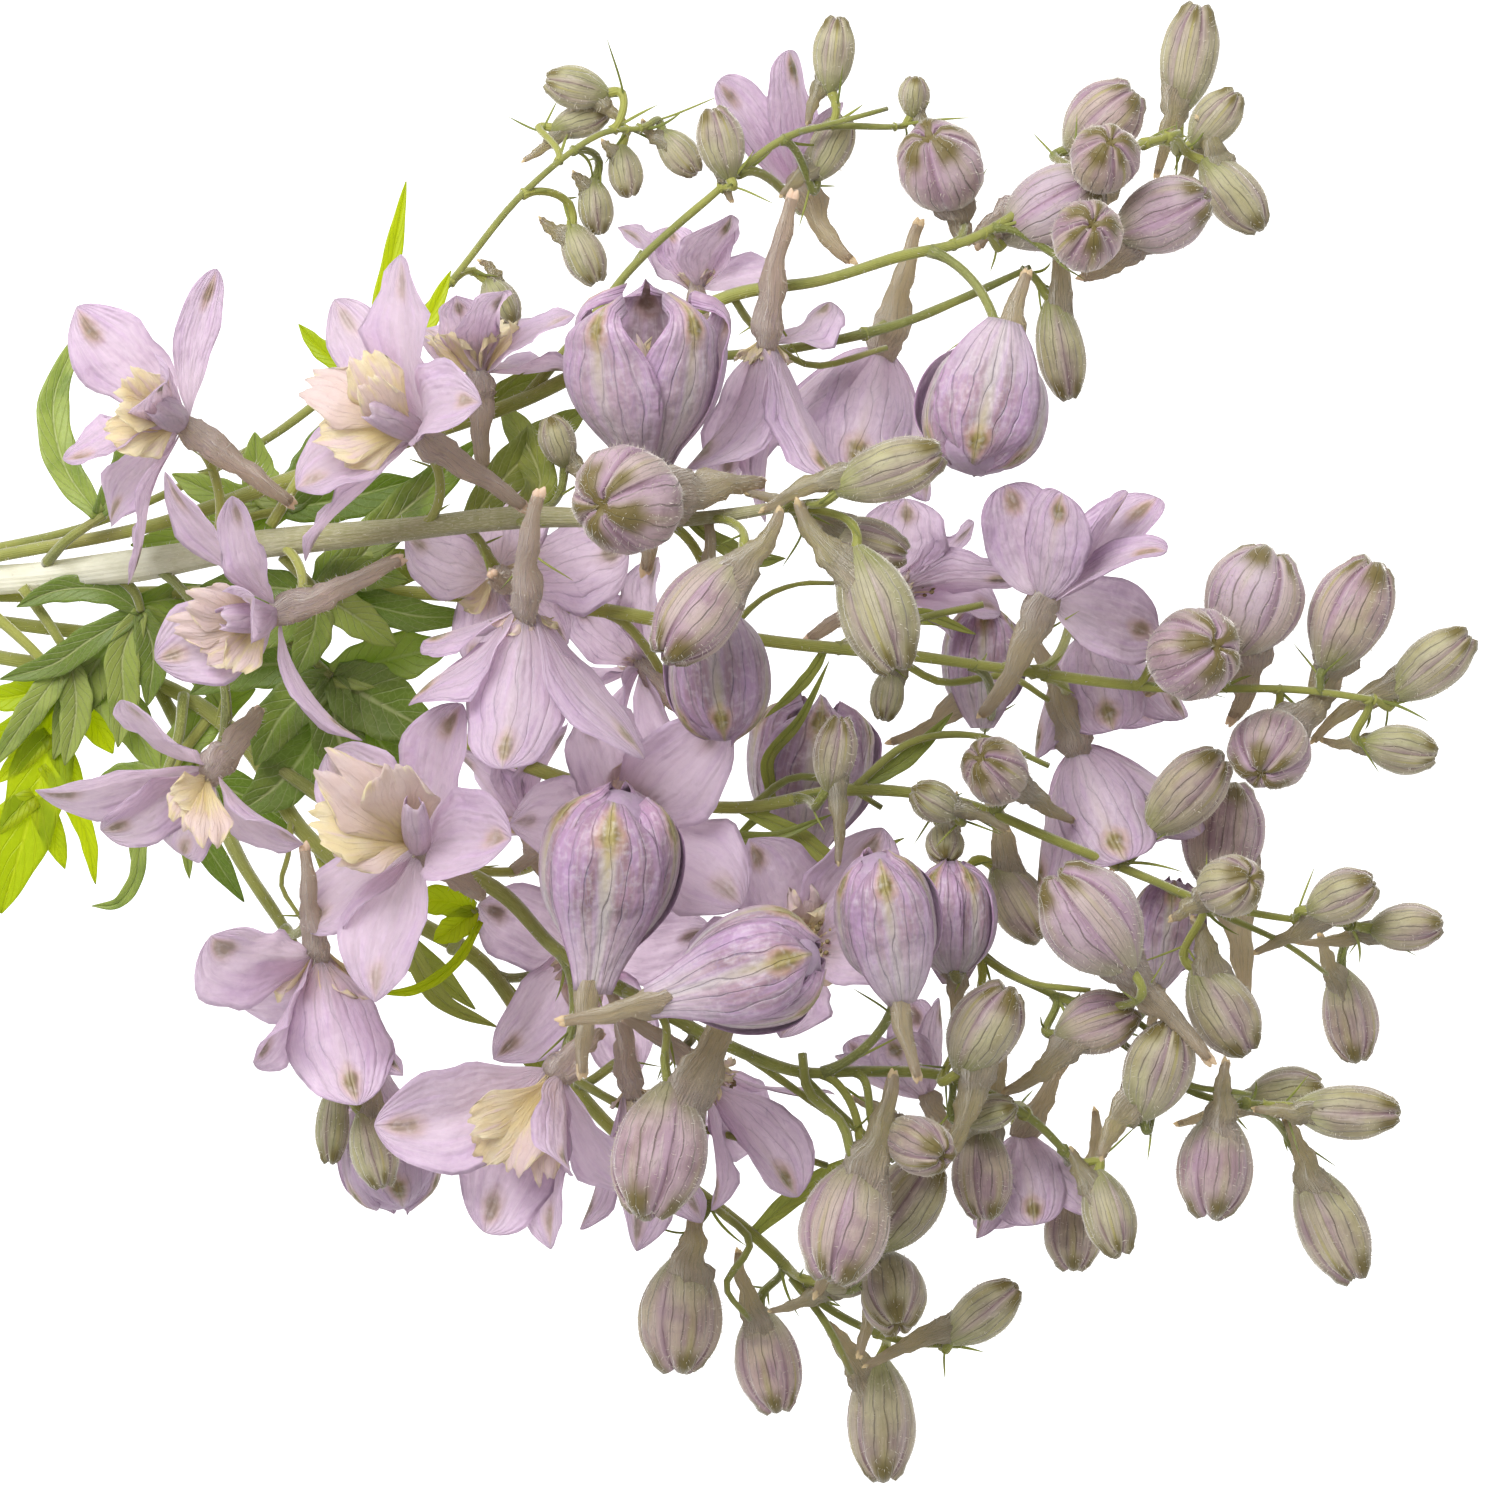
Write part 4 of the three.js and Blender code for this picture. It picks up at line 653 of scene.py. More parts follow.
def bee_finish():
    f = Finish("bee_petal")
    u, v = f.along()
    tone = f.mark("tone")
    across = (u - 0.5).size() * 2
    wobble = f.grain(4, 3) - 0.5
    rays = f.grain(7, 1.4, 3, 0.6)
    within = (v - 0.7).size() * -2.6 + 1.0 + (across - 0.5).size() * -0.4
    lilac = (within * 0.5 + (rays - 0.5) * 1.7 + (tone - 0.5) * 0.9 + 0.2).step(0.3, 0.62)
    vein = 1 - ((u + wobble * 0.3) * 7).wave(0.5).step(0.0, 0.16)
    colour = f.layers(
        f.blend(f.noise(300, 3).step(0.35, 0.65), (240, 234, 212), (230, 216, 176)),
        (lilac * 0.65, (206, 178, 208)),
        ((1 - v.step(0.2, 0.8)) * 0.6, (236, 218, 142)),
        (f.grain(14, 3, 3, 0.65).step(0.5, 0.72) * 0.3, (216, 192, 196)),
        (vein * 0.2, (190, 160, 172)))
    normal = f.bump(vein * 0.2 + f.noise(900, 2) * 0.5 + rays * 1.4, 0.5, 0.0006)
    return f.leafy(colour, (247, 240, 216), 0.74, 0.5, normal, 1.0, **{"Sheen Weight": 0.1})


def stalk_finish(name, light, dark, streak, through):
    f = Finish(name)
    u, _ = f.along()
    mottle, fibres = f.noise(150, 4), f.grain(26, 40, 4, 0.6)
    colour = f.layers(
        f.blend((mottle * 0.7 + f.mark("tone") * 0.9 - 0.35).step(0.1, 0.9), light, dark),
        (fibres.step(0.45, 0.7) * 0.4, streak),
        (f.mark("age") * 0.6, (178, 176, 142)),
        (f.noise(60, 2).step(0.62, 0.74) * 0.35, (150, 128, 96)))
    normal = f.bump((u * 5).wave(0.5) + fibres * 0.5 + f.noise(900, 2) * 0.2, 0.5, 0.0003)
    return f.leafy(colour, through, 0.42, 0.55, normal, **FUZZ)


def leaf_finish(name, light, dark, vein, through, share):
    f = Finish(name)
    u, v = f.along()
    across = (u - 0.5).size() * 2
    side = ((v * 9 - across * 2.2) + (f.noise(240, 2) - 0.5) * 0.6).wave(0.5)
    ribs = 1 - side.step(0.0, 0.10)
    colour = f.layers(
        f.blend((f.noise(170, 4) + (f.mark("tone") - 0.5) * 0.6).step(0.3, 0.7), light, dark),
        (ribs * 0.45, vein),
        (f.net(7, 22, 0.12) * 0.22, vein),
        ((1 - across.step(0.03, 0.12)) * 0.7, vein))
    normal = f.bump(ribs * -0.6 - (1 - across.step(0.0, 0.16)), 0.6, 0.0004)
    return f.leafy(colour, through, share, 0.45, normal, 0.3, **{"Sheen Weight": 0.1})


def down_finish():
    f = Finish("pale_down")
    colour = f.blend(f.noise(300, 0), (240, 236, 226), (214, 206, 194))
    return f.leafy(colour, (238, 234, 224), 0.5, 0.6, f.bump(f.noise(2000, 0), 0.1))


def anther_finish():
    f = Finish("anther")
    colour = f.blend(f.noise(900, 3).step(0.35, 0.65), (148, 132, 88), (108, 94, 66))
    return f.done(f.plain(colour, 0.7, f.bump(f.noise(2600, 2), 0.5)))


SEPAL, SPUR, BUD, BEE, STALK, STEM, LEAF, YOUNG, BRACT, DOWN, ANTHER = range(11)
FINISHES = [
    sepal_finish(),
    spur_finish(),
    bud_finish(),
    bee_finish(),
    stalk_finish("green_stalk", (166, 168, 82), (98, 106, 42), (206, 204, 138), (206, 206, 92)),
    stalk_finish("pale_stem", (255, 253, 240), (150, 146, 100), (250, 248, 232), (216, 212, 180)),
    leaf_finish("green_leaf", (170, 182, 92), (108, 128, 50), (204, 208, 150), (160, 186, 40), 0.48),
    leaf_finish("young_leaf", (198, 208, 8), (158, 176, 4), (210, 218, 50), (208, 220, 4), 0.66),
    leaf_finish("bract", (176, 182, 90), (130, 140, 62), (206, 208, 146), (178, 186, 90), 0.42),
    down_finish(),
    anther_finish(),
]
MARKS = ("tone", "age", "inner", "down")


# ------------------------------------------------------------------ forms

def rest_on_table(z):
    """Heights, in metres, with the ones near or under the table eased up, so that nothing sinks into it."""
    low = 2.0 * MM
    return np.where(z < low, low * np.exp(np.minimum(z / low - 1, 0)), z)


class Form:
    """The mesh of one piece as it grows, in millimetres, with the marks that its finishes read."""

    def __init__(self):
        self.points, self.faces, self.slots, self.maps, self.marks = [], [], [], [], []
        self.count = 0

    def add(self, points, faces, slot, across, along, tone=0.5, age=0.0, inner=0.0, down=0.0, corners=None):
        """corners, where given, is the map of each face's corners, in place of one of the points."""
        size = len(points)
        self.points.append(points)
        self.faces.extend(tuple(int(i) + self.count for i in face) for face in faces)
        self.slots.extend([slot] * len(faces))
        if corners is None:
            flat = np.fromiter(itertools.chain.from_iterable(faces), dtype=int)
            corners = np.column_stack([np.broadcast_to(across, size), np.broadcast_to(along, size)])[flat]
        self.maps.append(corners)
        self.marks.append(np.column_stack([np.broadcast_to(m, size) for m in (tone, age, inner, down)]))
        self.count += size

    def piece(self, name):
        mesh = bpy.data.meshes.new(name)
        points = np.concatenate(self.points) * MM
        points[:, 2] = rest_on_table(points[:, 2])
        mesh.from_pydata(points.tolist(), [], self.faces)
        used = sorted(set(self.slots))
        for slot in used:
            mesh.materials.append(FINISHES[slot])
        mesh.polygons.foreach_set("material_index", [used.index(slot) for slot in self.slots])
        mesh.polygons.foreach_set("use_smooth", [True] * len(self.faces))
        layer = mesh.uv_layers.new(name="along")
        layer.data.foreach_set("uv", np.concatenate(self.maps).astype(np.float32).ravel())
        marks = np.concatenate(self.marks).astype(np.float32)
        for column, mark in enumerate(MARKS):
            attribute = mesh.attributes.new(mark, "FLOAT", "POINT")
            attribute.data.foreach_set("value", marks[:, column].copy())
        mesh.update()
        obj = bpy.data.objects.new(name, mesh)
        bpy.context.scene.collection.objects.link(obj)
        return obj


def unit(vectors):
    return vectors / np.maximum(np.linalg.norm(vectors, axis=-1, keepdims=True), 1e-9)


def shell(grid, thickness, edge_share=0.35):
    """A thin closed skin round a grid of points, rows along and columns across: points and faces."""
    rows, columns = grid.shape[:2]
    down_rows = np.gradient(grid, axis=0)
    down_columns = np.gradient(grid, axis=1)
    normals = unit(np.cross(down_rows, down_columns))
    u = np.linspace(-1, 1, columns)
    v = np.linspace(0, 1, rows)
    taper = edge_share + (1 - edge_share) * (1 - np.abs(u) ** 4)[None, :] * (1 - v ** 8)[:, None]
    half = normals * (0.5 * thickness * taper)[..., None]
    points = np.concatenate([(grid + half).reshape(-1, 3), (grid - half).reshape(-1, 3)])
    total = rows * columns
    index = np.arange(total).reshape(rows, columns)
    a, b, c, d = index[:-1, :-1], index[1:, :-1], index[1:, 1:], index[:-1, 1:]
    front = np.stack([a, b, c, d], axis=-1).reshape(-1, 4)
    back = front[:, ::-1] + total
    rim = np.concatenate([index[:, 0], index[-1, 1:], index[-2::-1, -1], index[0, -2:0:-1]])
    after = np.roll(rim, -1)
    side = np.stack([rim, rim + total, after + total, after], axis=-1)
    return points, np.concatenate([front, back, side]).tolist()


def shell_map(u, v):
    """The map of a shell's points, for both faces: u, from -1 to 1, as a share across, and v along."""
    return np.tile(u * 0.5 + 0.5, 2 * len(v)), np.tile(np.repeat(v, len(u)), 2)


def ring_turns(sides):
    return np.linspace(0, 2 * math.pi, sides, endpoint=False)


def loft(rings):
    """A closed solid through rings of points that run counter-clockwise about the way from ring to ring."""
    count, sides = rings.shape[:2]
    index = np.arange(count * sides).reshape(count, sides)
    after = np.roll(index, -1, axis=1)
    walls = np.stack([index[:-1], after[:-1], after[1:], index[1:]], axis=-1).reshape(-1, 4).tolist()
    start, end = count * sides, count * sides + 1
    caps = [(start, int(b), int(a)) for a, b in zip(index[0], after[0])]
    caps += [(end, int(a), int(b)) for a, b in zip(index[-1], after[-1])]
    points = np.concatenate([rings.reshape(-1, 3), rings[:1].mean(axis=1), rings[-1:].mean(axis=1)])
    return points, walls + caps


def sweep(points, radii, sides, shape=None):
    """Rings round a line of points. shape gives each ring's radius against its own, by turn."""
    tangents = unit(np.gradient(points, axis=0))
    across = np.array([0.31, 0.17, 0.94])
    turns = ring_turns(sides)
    rings = []
    for row, (point, tangent, radius) in enumerate(zip(points, tangents, radii)):
        across = unit(across - tangent * across.dot(tangent))
        up = np.cross(tangent, across)
        reach = radius if shape is None else radius * shape[row]
        ring = np.outer(np.cos(turns) * reach, across) + np.outer(np.sin(turns) * reach, up)
        rings.append(point + ring)
    return np.array(rings)


def curve(points, count):
    """Even steps of the parameter along a centripetal curve through points, any number of columns."""
    points = np.asarray(points, dtype=float)
    last = len(points) - 1
    out = []
    for t in np.linspace(0, 1, count):
        place = t * last
        i = min(int(place), last - 1)
        weight = place - i
        p0 = points[i - 1] if i > 0 else 2 * points[0] - points[1]
        p3 = points[i + 2] if i + 2 <= last else 2 * points[last] - points[last - 1]
        p1, p2 = points[i], points[i + 1]
        d0, d1, d2 = (max(float(((b - a)[:3] ** 2).sum()) ** 0.25, 1e-4)
                      for a, b in ((p0, p1), (p1, p2), (p2, p3)))
        m1 = ((p1 - p0) / d0 - (p2 - p0) / (d0 + d1) + (p2 - p1) / d1) * d1
        m2 = ((p2 - p1) / d1 - (p3 - p1) / (d1 + d2) + (p3 - p2) / d2) * d1
        w2, w3 = weight * weight, weight ** 3
        out.append((2 * w3 - 3 * w2 + 1) * p1 + (w3 - 2 * w2 + weight) * m1
                   + (3 * w2 - 2 * w3) * p2 + (w3 - w2) * m2)
    return np.array(out)


def tube_map(sides, folds, along):
    """The map of a loft's points: to and fro between 0 and 1 round it, so without a seam, and along it."""
    share = np.arange(sides) / sides * folds
    share = 1 - np.abs((share % 1) * 2 - 1)
    return np.append(np.tile(share, len(along)), [0.5, 0.5]), np.append(np.repeat(along, sides), [0, 1])


class Pose:
    """Where a flower or bud stands: X across, Y to the side of its spur, Z the way it faces."""

    def __init__(self, seat, heading, rise, roll):
        h, e, r = math.radians(heading), math.radians(rise), math.radians(roll)
        facing = np.array([math.cos(e) * math.cos(h), math.cos(e) * math.sin(h), math.sin(e)])
        level = np.array([math.sin(h), -math.cos(h), 0.0])
        upright = np.array([-math.sin(e) * math.cos(h), -math.sin(e) * math.sin(h), math.cos(e)])
        spur_side = upright * math.cos(r) + level * math.sin(r)
        self.axes = np.array([np.cross(spur_side, facing), spur_side, facing])
        self.seat = np.array(seat, dtype=float)

    def __call__(self, points, size=1.0):
        return self.seat + (np.asarray(points) * size) @ self.axes

    def way(self, direction):
        return unit(np.asarray(direction, dtype=float) @ self.axes)


# ------------------------------------------------------------------ petals

SEPAL_ROWS, SEPAL_COLUMNS = 21, 15
# Half the width of a sepal's tip against its widest.
TIP_WIDTH = 0.02
# How much a sepal of a closed flower narrows at its root and at its tip.
CLOSED_OUTLINE = (0.62, 0.42)
# Where the root of a sepal stands: out from the flower's axis, and forward.
ROOT_OUT, ROOT_FORWARD = 1.4, 1.2
BEE_ROWS, BEE_COLUMNS = 11, 13
BEE_ROOT_OUT, BEE_ROOT_FORWARD = 0.8, 0.4


def outline(v, root, tip):
    """Half width along a sepal against its widest. A higher root or tip narrows it more there."""
    belly = root / (root + tip)
    return (v / belly) ** root * ((1 - v) / (1 - belly)) ** tip


def aim(pose, size, tip, swing):
    """The turn, angles and length of a sepal whose tip comes to rest at a point."""
    x, y, z = (pose.axes @ (np.array(tip) - pose.seat)) / size
    out, forward = math.hypot(x, y) - ROOT_OUT, z - ROOT_FORWARD
    chord = math.degrees(math.atan2(out, forward))
    half = math.radians(swing) / 2
    stretch = half / math.sin(half) if swing else 1.0
    return math.atan2(-x, y), (chord - swing / 2, chord + swing / 2), math.hypot(out, forward) * stretch


def bent(v, bend, length, out, forward):
    """A line from out and forward of the flower's axis that runs on at the angles in bend."""
    steps = length * np.diff(v, prepend=0.0)
    return out + np.cumsum(np.sin(bend) * steps), forward + np.cumsum(np.cos(bend) * steps)


def blade(turn, bend, out, forward, x, z):
    """The grid of a petal on a line at a turn about the flower's axis: x across the petal, z off its face."""
    outward = np.array([-math.sin(turn), math.cos(turn), 0.0])
    sideways = np.array([-math.cos(turn), -math.sin(turn), 0.0])
    ahead = np.array([0.0, 0.0, 1.0])
    up = np.cos(bend)[:, None] * -outward + np.sin(bend)[:, None] * ahead
    grid = out[..., None] * outward + forward[..., None] * ahead
    return grid + x[..., None] * sideways + z[..., None] * up[:, None, :]


def sepal(form, pose, size, turn, angles, length, half_width, cup, skew, look, rng, over=0.0):
    """One sepal: a blade that bends evenly from one angle to another, with its own folds and ripples."""
    v = 0.5 * (1 - np.cos(math.pi * np.linspace(0.02, 0.995, SEPAL_ROWS)))
    u = np.linspace(-1, 1, SEPAL_COLUMNS)
    start, end = np.radians(angles)
    curl = rng.uniform(-0.15, 0.35)
    bend = start + (end - start) * v + curl * v ** 7
    out, forward = bent(v, bend, length, ROOT_OUT + over * np.minimum(1, 3 * v), ROOT_FORWARD)
    root, tip = CLOSED_OUTLINE if look["closed"] else (rng.uniform(0.85, 1.15), rng.uniform(0.6, 0.95))
    share = np.maximum(outline(v, root, tip), TIP_WIDTH)[:, None]
    width = half_width * share
    down_v = v[:, None]
    turned = math.radians(skew) + rng.uniform(-0.16, 0.16) * down_v ** 2
    hollow = 2 * cup * share / half_width
    x = width * np.sin(hollow * u) / np.maximum(hollow, 1e-6)
    z = width * (1 - np.cos(hollow * u)) / np.maximum(hollow, 1e-6)
    body = share * np.minimum(1, 6 * down_v)
    ruffle = look["ripple"]
    ripple = rng.uniform(0.45, 1.15) * ruffle
    phase = rng.uniform(0, 6.28)
    swell = 2 * math.pi * rng.uniform(1.3, 2.6) * down_v
    z = z + ripple * body * np.abs(u) ** 1.8 * np.sin(swell + phase + 2.1 * u)
    z = z + 0.3 * ripple * body * np.abs(u) ** 3 * np.sin(2.6 * swell + 2 * phase - 3 * u)
    z = z + rng.uniform(-0.1, 0.28) * ruffle * width * np.abs(u)
    z = z - 0.42 * np.exp(-(u / 0.13) ** 2) * body
    z = z + rng.uniform(-0.9, 0.9) * ruffle * body * np.sin(math.pi * 1.6 * down_v) * (1 + 0.5 * u)
    z = z + 0.10 * body * np.cos(u * 5 * math.pi + 2 * np.sin(5 * down_v + phase))
    x = x * (1 + 0.05 * ruffle * np.sin(17 * down_v + phase + u))
    x = x + rng.uniform(-0.06, 0.06) * width * (1 - np.abs(u))
    lean = rng.uniform(-0.09, 0.09) * length * down_v ** 2
    x, z = x * np.cos(turned) - z * np.sin(turned), x * np.sin(turned) + z * np.cos(turned)
    grid = blade(turn, bend, out[:, None], forward[:, None], x + lean, z)
    points, faces = shell(grid, SEPAL_THICKNESS / size)
    tone = look["tone"] + rng.uniform(-0.25, 0.25)
    form.add(pose(points, size), faces, SEPAL, *shell_map(u, v), tone=tone, age=look["age"],
             inner=np.repeat([1.0, 0.0], SEPAL_ROWS * SEPAL_COLUMNS))


def inner_petal(form, pose, size, turn, angles, length, half_width, frill, rng):
    """A petal of the bee: a stalk-like root that opens into a frilled, notched blade."""
    v, u = np.linspace(0, 1, BEE_ROWS), np.linspace(-1, 1, BEE_COLUMNS)
    start, end = np.radians(angles)
    bend = start + (end - start) * v + rng.uniform(-0.2, 0.8) * v ** 3
    out, forward = bent(v, bend, length, BEE_ROOT_OUT, BEE_ROOT_FORWARD)
    width = half_width * (0.22 + 0.78 * np.clip((v - 0.12) / 0.5, 0, 1) ** 1.1) * (1 - 0.45 * v ** 5)
    phase = rng.uniform(0, 6.28)
    edge = 1 - 0.12 * np.abs(np.sin(2.7 * u + phase)) - 0.25 * np.exp(-(u / 0.14) ** 2)
    edge = edge + 0.07 * np.sin(11 * u + phase) + 0.05 * np.sin(19 * u + 2 * phase) - 0.12 * u ** 2
    down_v = v[:, None]
    reach = down_v * (1 - down_v ** 2 * (1 - edge))
    wave = np.sin(7.5 * u + 5 * down_v + phase) + 0.6 * np.sin(13 * u - 7 * down_v + 2 * phase)
    z = frill * down_v ** 1.6 * np.abs(u) ** 0.8 * wave + 0.55 * frill * u ** 2 * down_v
    grid = blade(turn, bend, np.interp(reach, v, out), np.interp(reach, v, forward), width[:, None] * u, z)
    points, faces = shell(grid, BEE_THICKNESS / size)
    form.add(pose(points, size), faces, BEE, *shell_map(u, v), tone=rng.uniform(0, 1))


# ------------------------------------------------------------------ flowers

SPUR_LINE = [(0, 7.8, -20.5, 1.15), (0, 6.8, -14.5, 1.7), (0, 4.6, -7.5, 2.25), (0, 1.8, -1.6, 2.9),
             (0, 0.5, 2.4, 1.8)]
SPUR_ROWS, SPUR_SIDES = 20, 12
STAMENS = 13


def draw_aside(line, pose, size, goal):
    """Moves the tip of a spur's line to a point, and the rest of it less and less towards its root."""
    goal = (pose.axes @ (np.array(goal) - pose.seat)) / size
    line[:, :3] += np.linspace(1, 0, len(line))[:, None] ** 1.3 * (goal - line[0, :3])


def spur(form, pose, size, line, tone, age, green, rng):
    """A wrinkled, slightly flattened spur, split in two blunt lobes at its tip."""
    stations = curve(line, SPUR_ROWS)[::-1]
    way = np.linspace(0, 1, SPUR_ROWS)
    reach = np.linalg.norm(stations[-1, :3] - stations[0, :3])
    stations[:, 0] += 0.035 * reach * np.sin(4.5 * way + rng.uniform(0, 6)) * way
    stations[:, 1] += 0.03 * reach * np.sin(3.5 * way + rng.uniform(0, 6)) * way
    stations[:, 0] += 0.10 * stations[:, 3] * np.sin(17 * way + rng.uniform(0, 6)) * np.sin(math.pi * way)
    stations[:, 3] *= 1 + 0.10 * np.sin(21 * way + rng.uniform(0, 6)) * np.sin(math.pi * way)
    turns, down_way = ring_turns(SPUR_SIDES), way[:, None]
    belly = np.sin(math.pi * down_way)
    twist = rng.uniform(-2, 2)
    shape = 1 + 0.10 * np.sin(3 * turns + 8 * down_way + twist)
    shape = shape + 0.07 * np.sin(5 * turns - 13 * down_way + 2)
    shape = shape + 0.06 * np.sin(39 * down_way + 2 * turns + twist) * belly
    shape = shape + 0.07 * np.sin(4 * turns + 23 * down_way - twist) * belly ** 0.5
    shape = shape + rng.uniform(-0.08, 0.08, (SPUR_ROWS, SPUR_SIDES)) * belly
    shape = shape * (1 - 0.24 * np.abs(np.sin(turns + 0.6 * down_way)))
    marks = {"tone": tone, "age": age, "inner": green}
    points, faces = loft(sweep(stations[:, :3], stations[:, 3], SPUR_SIDES, shape))
    form.add(pose(points, size), faces, SPUR, *tube_map(SPUR_SIDES, 2, way), down=0.8, **marks)
    tip, radius = stations[-1, :3], stations[-1, 3]
    ahead = unit(tip - stations[-3, :3])
    for side in (-1, 1):
        aside = np.array([side, 0, 0.0])
        long = rng.uniform(0.5, 1.15)
        steps = (-1.2, 0.2), (0.3 * long, 0.3), (0.8 * long, 0.36), (1.3 * long, 0.46)
        fork = np.array([tip + ahead * radius * on + aside * radius * off for on, off in steps])
        points, faces = loft(sweep(fork, radius * np.array([0.66, 0.62, 0.42, 0.14]), 7))
        form.add(pose(points, size), faces, SPUR, 0.5, 1.0, down=0.5, **marks)


def stamens(form, pose, size, rng):
    """Pale threads that lean out of the throat, with dark anthers."""
    for k in range(STAMENS):
        around = 2 * math.pi * k / STAMENS + rng.uniform(-0.3, 0.3)
        lean = rng.uniform(0.5, 2.2)
        reach = rng.uniform(4.2, 7.0)
        base = np.array([0.8 * math.cos(around), 0.8 * math.sin(around) - 0.6, 1.5])
        top = base + np.array([lean * math.cos(around), lean * math.sin(around) - 1.4, reach])
        thread = curve([base, (base + top) / 2 + np.array([0, 0.5, 0.8]), top], 5)
        points, faces = loft(sweep(thread, [0.16, 0.14, 0.12, 0.11, 0.1], 5))
        form.add(pose(points, size), faces, BEE, 0.5, 0.45, tone=0.2)
        bean = np.array([top + np.array([0, 0, 0.45]) * t for t in (-1, -0.4, 0.4, 1.2)])
        points, faces = loft(sweep(bean, [0.16, 0.42, 0.42, 0.14], 7))
        form.add(pose(points, size), faces, ANTHER, 0.5, 0.5)


# Closed flowers whose tips have begun to part, by how many degrees.
PARTED = {4: 28, 23: 16}
# Where the spur's tip lies on flowers whose spur is foreshortened or bent aside.
SPUR_TIPS = {
    1: (112.6, 12.6, 48), 2: (151.6, 12, 64), 3: (146, 18.5, 44), 5: (131.6, 2.4, 56),
    7: (107.5, -21.5, 40), 8: (144.5, -53, 38), 10: (165, -76, 40), 14: (236.6, 50.6, 46),
    16: (206.4, 53.8, 20), 18: (229.5, -22.5, 36), 20: (200, -9, 22), 21: (213.5, -27, 20),
    34: (243.5, -80.5, 15),
}
# How ripe a flower's colour is by its kind, and where it differs from its kind.
KIND_AGES = {OPEN: 0.0, FLARED: 0.12, BELL: 0.25, CUP: 0.74}
AGES = {11: 0.15, 27: 0.05, 16: 0.06, 25: 0.9, 4: 0.62, 28: 0.66}

# How open and closed flowers differ: ripple of the sepals, how far their angles stray, how broad and how
# hollow they are, and how green the spur is.
OPENED = {"ripple": 1.0, "stray": 6, "breadth": 1.0, "hollow": 1.5, "green": 0.0}
SHUT = {"ripple": 0.32, "stray": 1.5, "breadth": 1.2, "hollow": 4.2, "green": 0.36}
# How far each sepal of a closed flower stands out over its neighbours.
OVERLAPS = (0.5, -0.45, 0.5, -0.45, 0.05)
# Half the width of a closed flower against its widest, by share of its height.
WRAP_PROFILE = [(0, 0.33), (0.08, 0.43), (0.2, 0.66), (0.34, 0.87), (0.48, 0.97), (0.62, 1.0), (0.75, 0.96),
                (0.86, 0.82), (0.94, 0.6), (1.0, 0.26), (1.1, 0.04)]
WRAP_HEIGHT, WRAP_WIDTH = 26.0, 20.0
WRAP_ROWS, WRAP_COLUMNS = 23, 15
# Half the turn that a sepal of a closed flower spans.
WRAP_SPAN = math.radians(49)
# How far behind the flower's root the wrap begins, over the spur's root.
WRAP_BACK = 3.2
# Closed flowers that are fuller than the rest, and those that widen at once from their root.
FULLER = {25: 1.12, 14: 1.04}
DOMED = {14, 21, 28, 29, 36, 38}
# How tall a closed flower is against the rest, where it is squat.
SQUAT = {14: 0.8}
# The inner petals of a closed flower, folded together under its nose: height and half width.
FOLDED = np.array([(3, 1.2), (9, 4.4), (15, 6.8), (19, 6.4), (20.8, 4.8), (22, 2.8), (22.5, 0.8)])
FOLDED_SIDES = 14


def wrapped(form, pose, size, turn, over, parted, domed, look, rng):
    """One sepal of a closed flower: a hollow blade that wraps with its neighbours round the middle."""
    v, u = np.linspace(0, 1, WRAP_ROWS), np.linspace(-1, 1, WRAP_COLUMNS)
    fine = curve(WRAP_PROFILE, 60)
    level = v * rng.uniform(0.96, 1.04)
    parted = parted / max(PARTED.values())
    radius = 0.5 * WRAP_WIDTH * np.interp(level ** (0.72 if domed else 1.0), fine[:, 0], fine[:, 1])
    radius = radius * (1 + parted * (0.12 + 0.35 * np.clip((v - 0.7) / 0.3, 0, 1)))
    start = 0.6 - 0.22 * parted
    narrow = np.clip((v - start) / (1 - start), 0, 1) ** (2.8 - 1.0 * parted)
    span = WRAP_SPAN * (1 - (0.26 + 0.5 * parted) * narrow)
    body = np.sin(math.pi * np.clip(v * 0.94 + 0.03, 0, 1))[:, None] ** 0.7
    phase = rng.uniform(0, 6.28, 4)
    down_v, side = v[:, None], u[None, :]
    around = turn + span[:, None] * side + rng.uniform(-0.12, 0.12) * down_v ** 2
    reach = radius[:, None] + over * body * 1.1 + (0.28 if over > 0 else -0.2) * np.abs(side) ** 3
    reach = reach - 0.55 * np.exp(-(side / 0.11) ** 2) * body
    reach = reach + 0.35 * body * np.sin(2.2 * side + phase[0]) * np.sin(3 * down_v + phase[1])
    ruffle = np.clip((down_v - 0.72) / 0.28, 0, 1) ** 1.5
    frill = 0.35 * np.abs(side) * np.sin(5 * side + phase[2]) + 0.4 * np.sin(3 * side + phase[3])
    reach = reach + ruffle * frill
    reach = reach + rng.uniform(-0.4, 0.5) * np.clip((down_v - 0.85) / 0.15, 0, 1) ** 2
    height = -WRAP_BACK + WRAP_HEIGHT * look["tall"] * level[:, None] * (1 - 0.09 * side ** 2 * down_v ** 5)
    height = height + 0.22 * ruffle * np.sin(6 * side + phase[1])
    # The upper sepal runs back and out over the root of the spur.
    low = np.clip(1 - down_v / 0.34, 0, 1) ** 1.5 if abs(math.sin(turn / 2)) < 0.1 else 0 * down_v
    height = height - 3.4 * low
    aside = np.cos(around) * reach * 0.94 + 2.6 * low
    grid = np.stack([-np.sin(around) * reach, aside, height], axis=-1)
    lean = rng.uniform(-0.02, 0.02, 2)
    grid[..., :2] += lean * (down_v ** 2)[..., None] * WRAP_HEIGHT
    points, faces = shell(grid[:, ::-1], WRAP_THICKNESS / size)
    form.add(pose(points, size), faces, SEPAL, *shell_map(u, v), tone=look["tone"] + rng.uniform(-0.2, 0.2),
             age=look["age"], inner=np.repeat([0.0, 1.0], WRAP_ROWS * WRAP_COLUMNS))


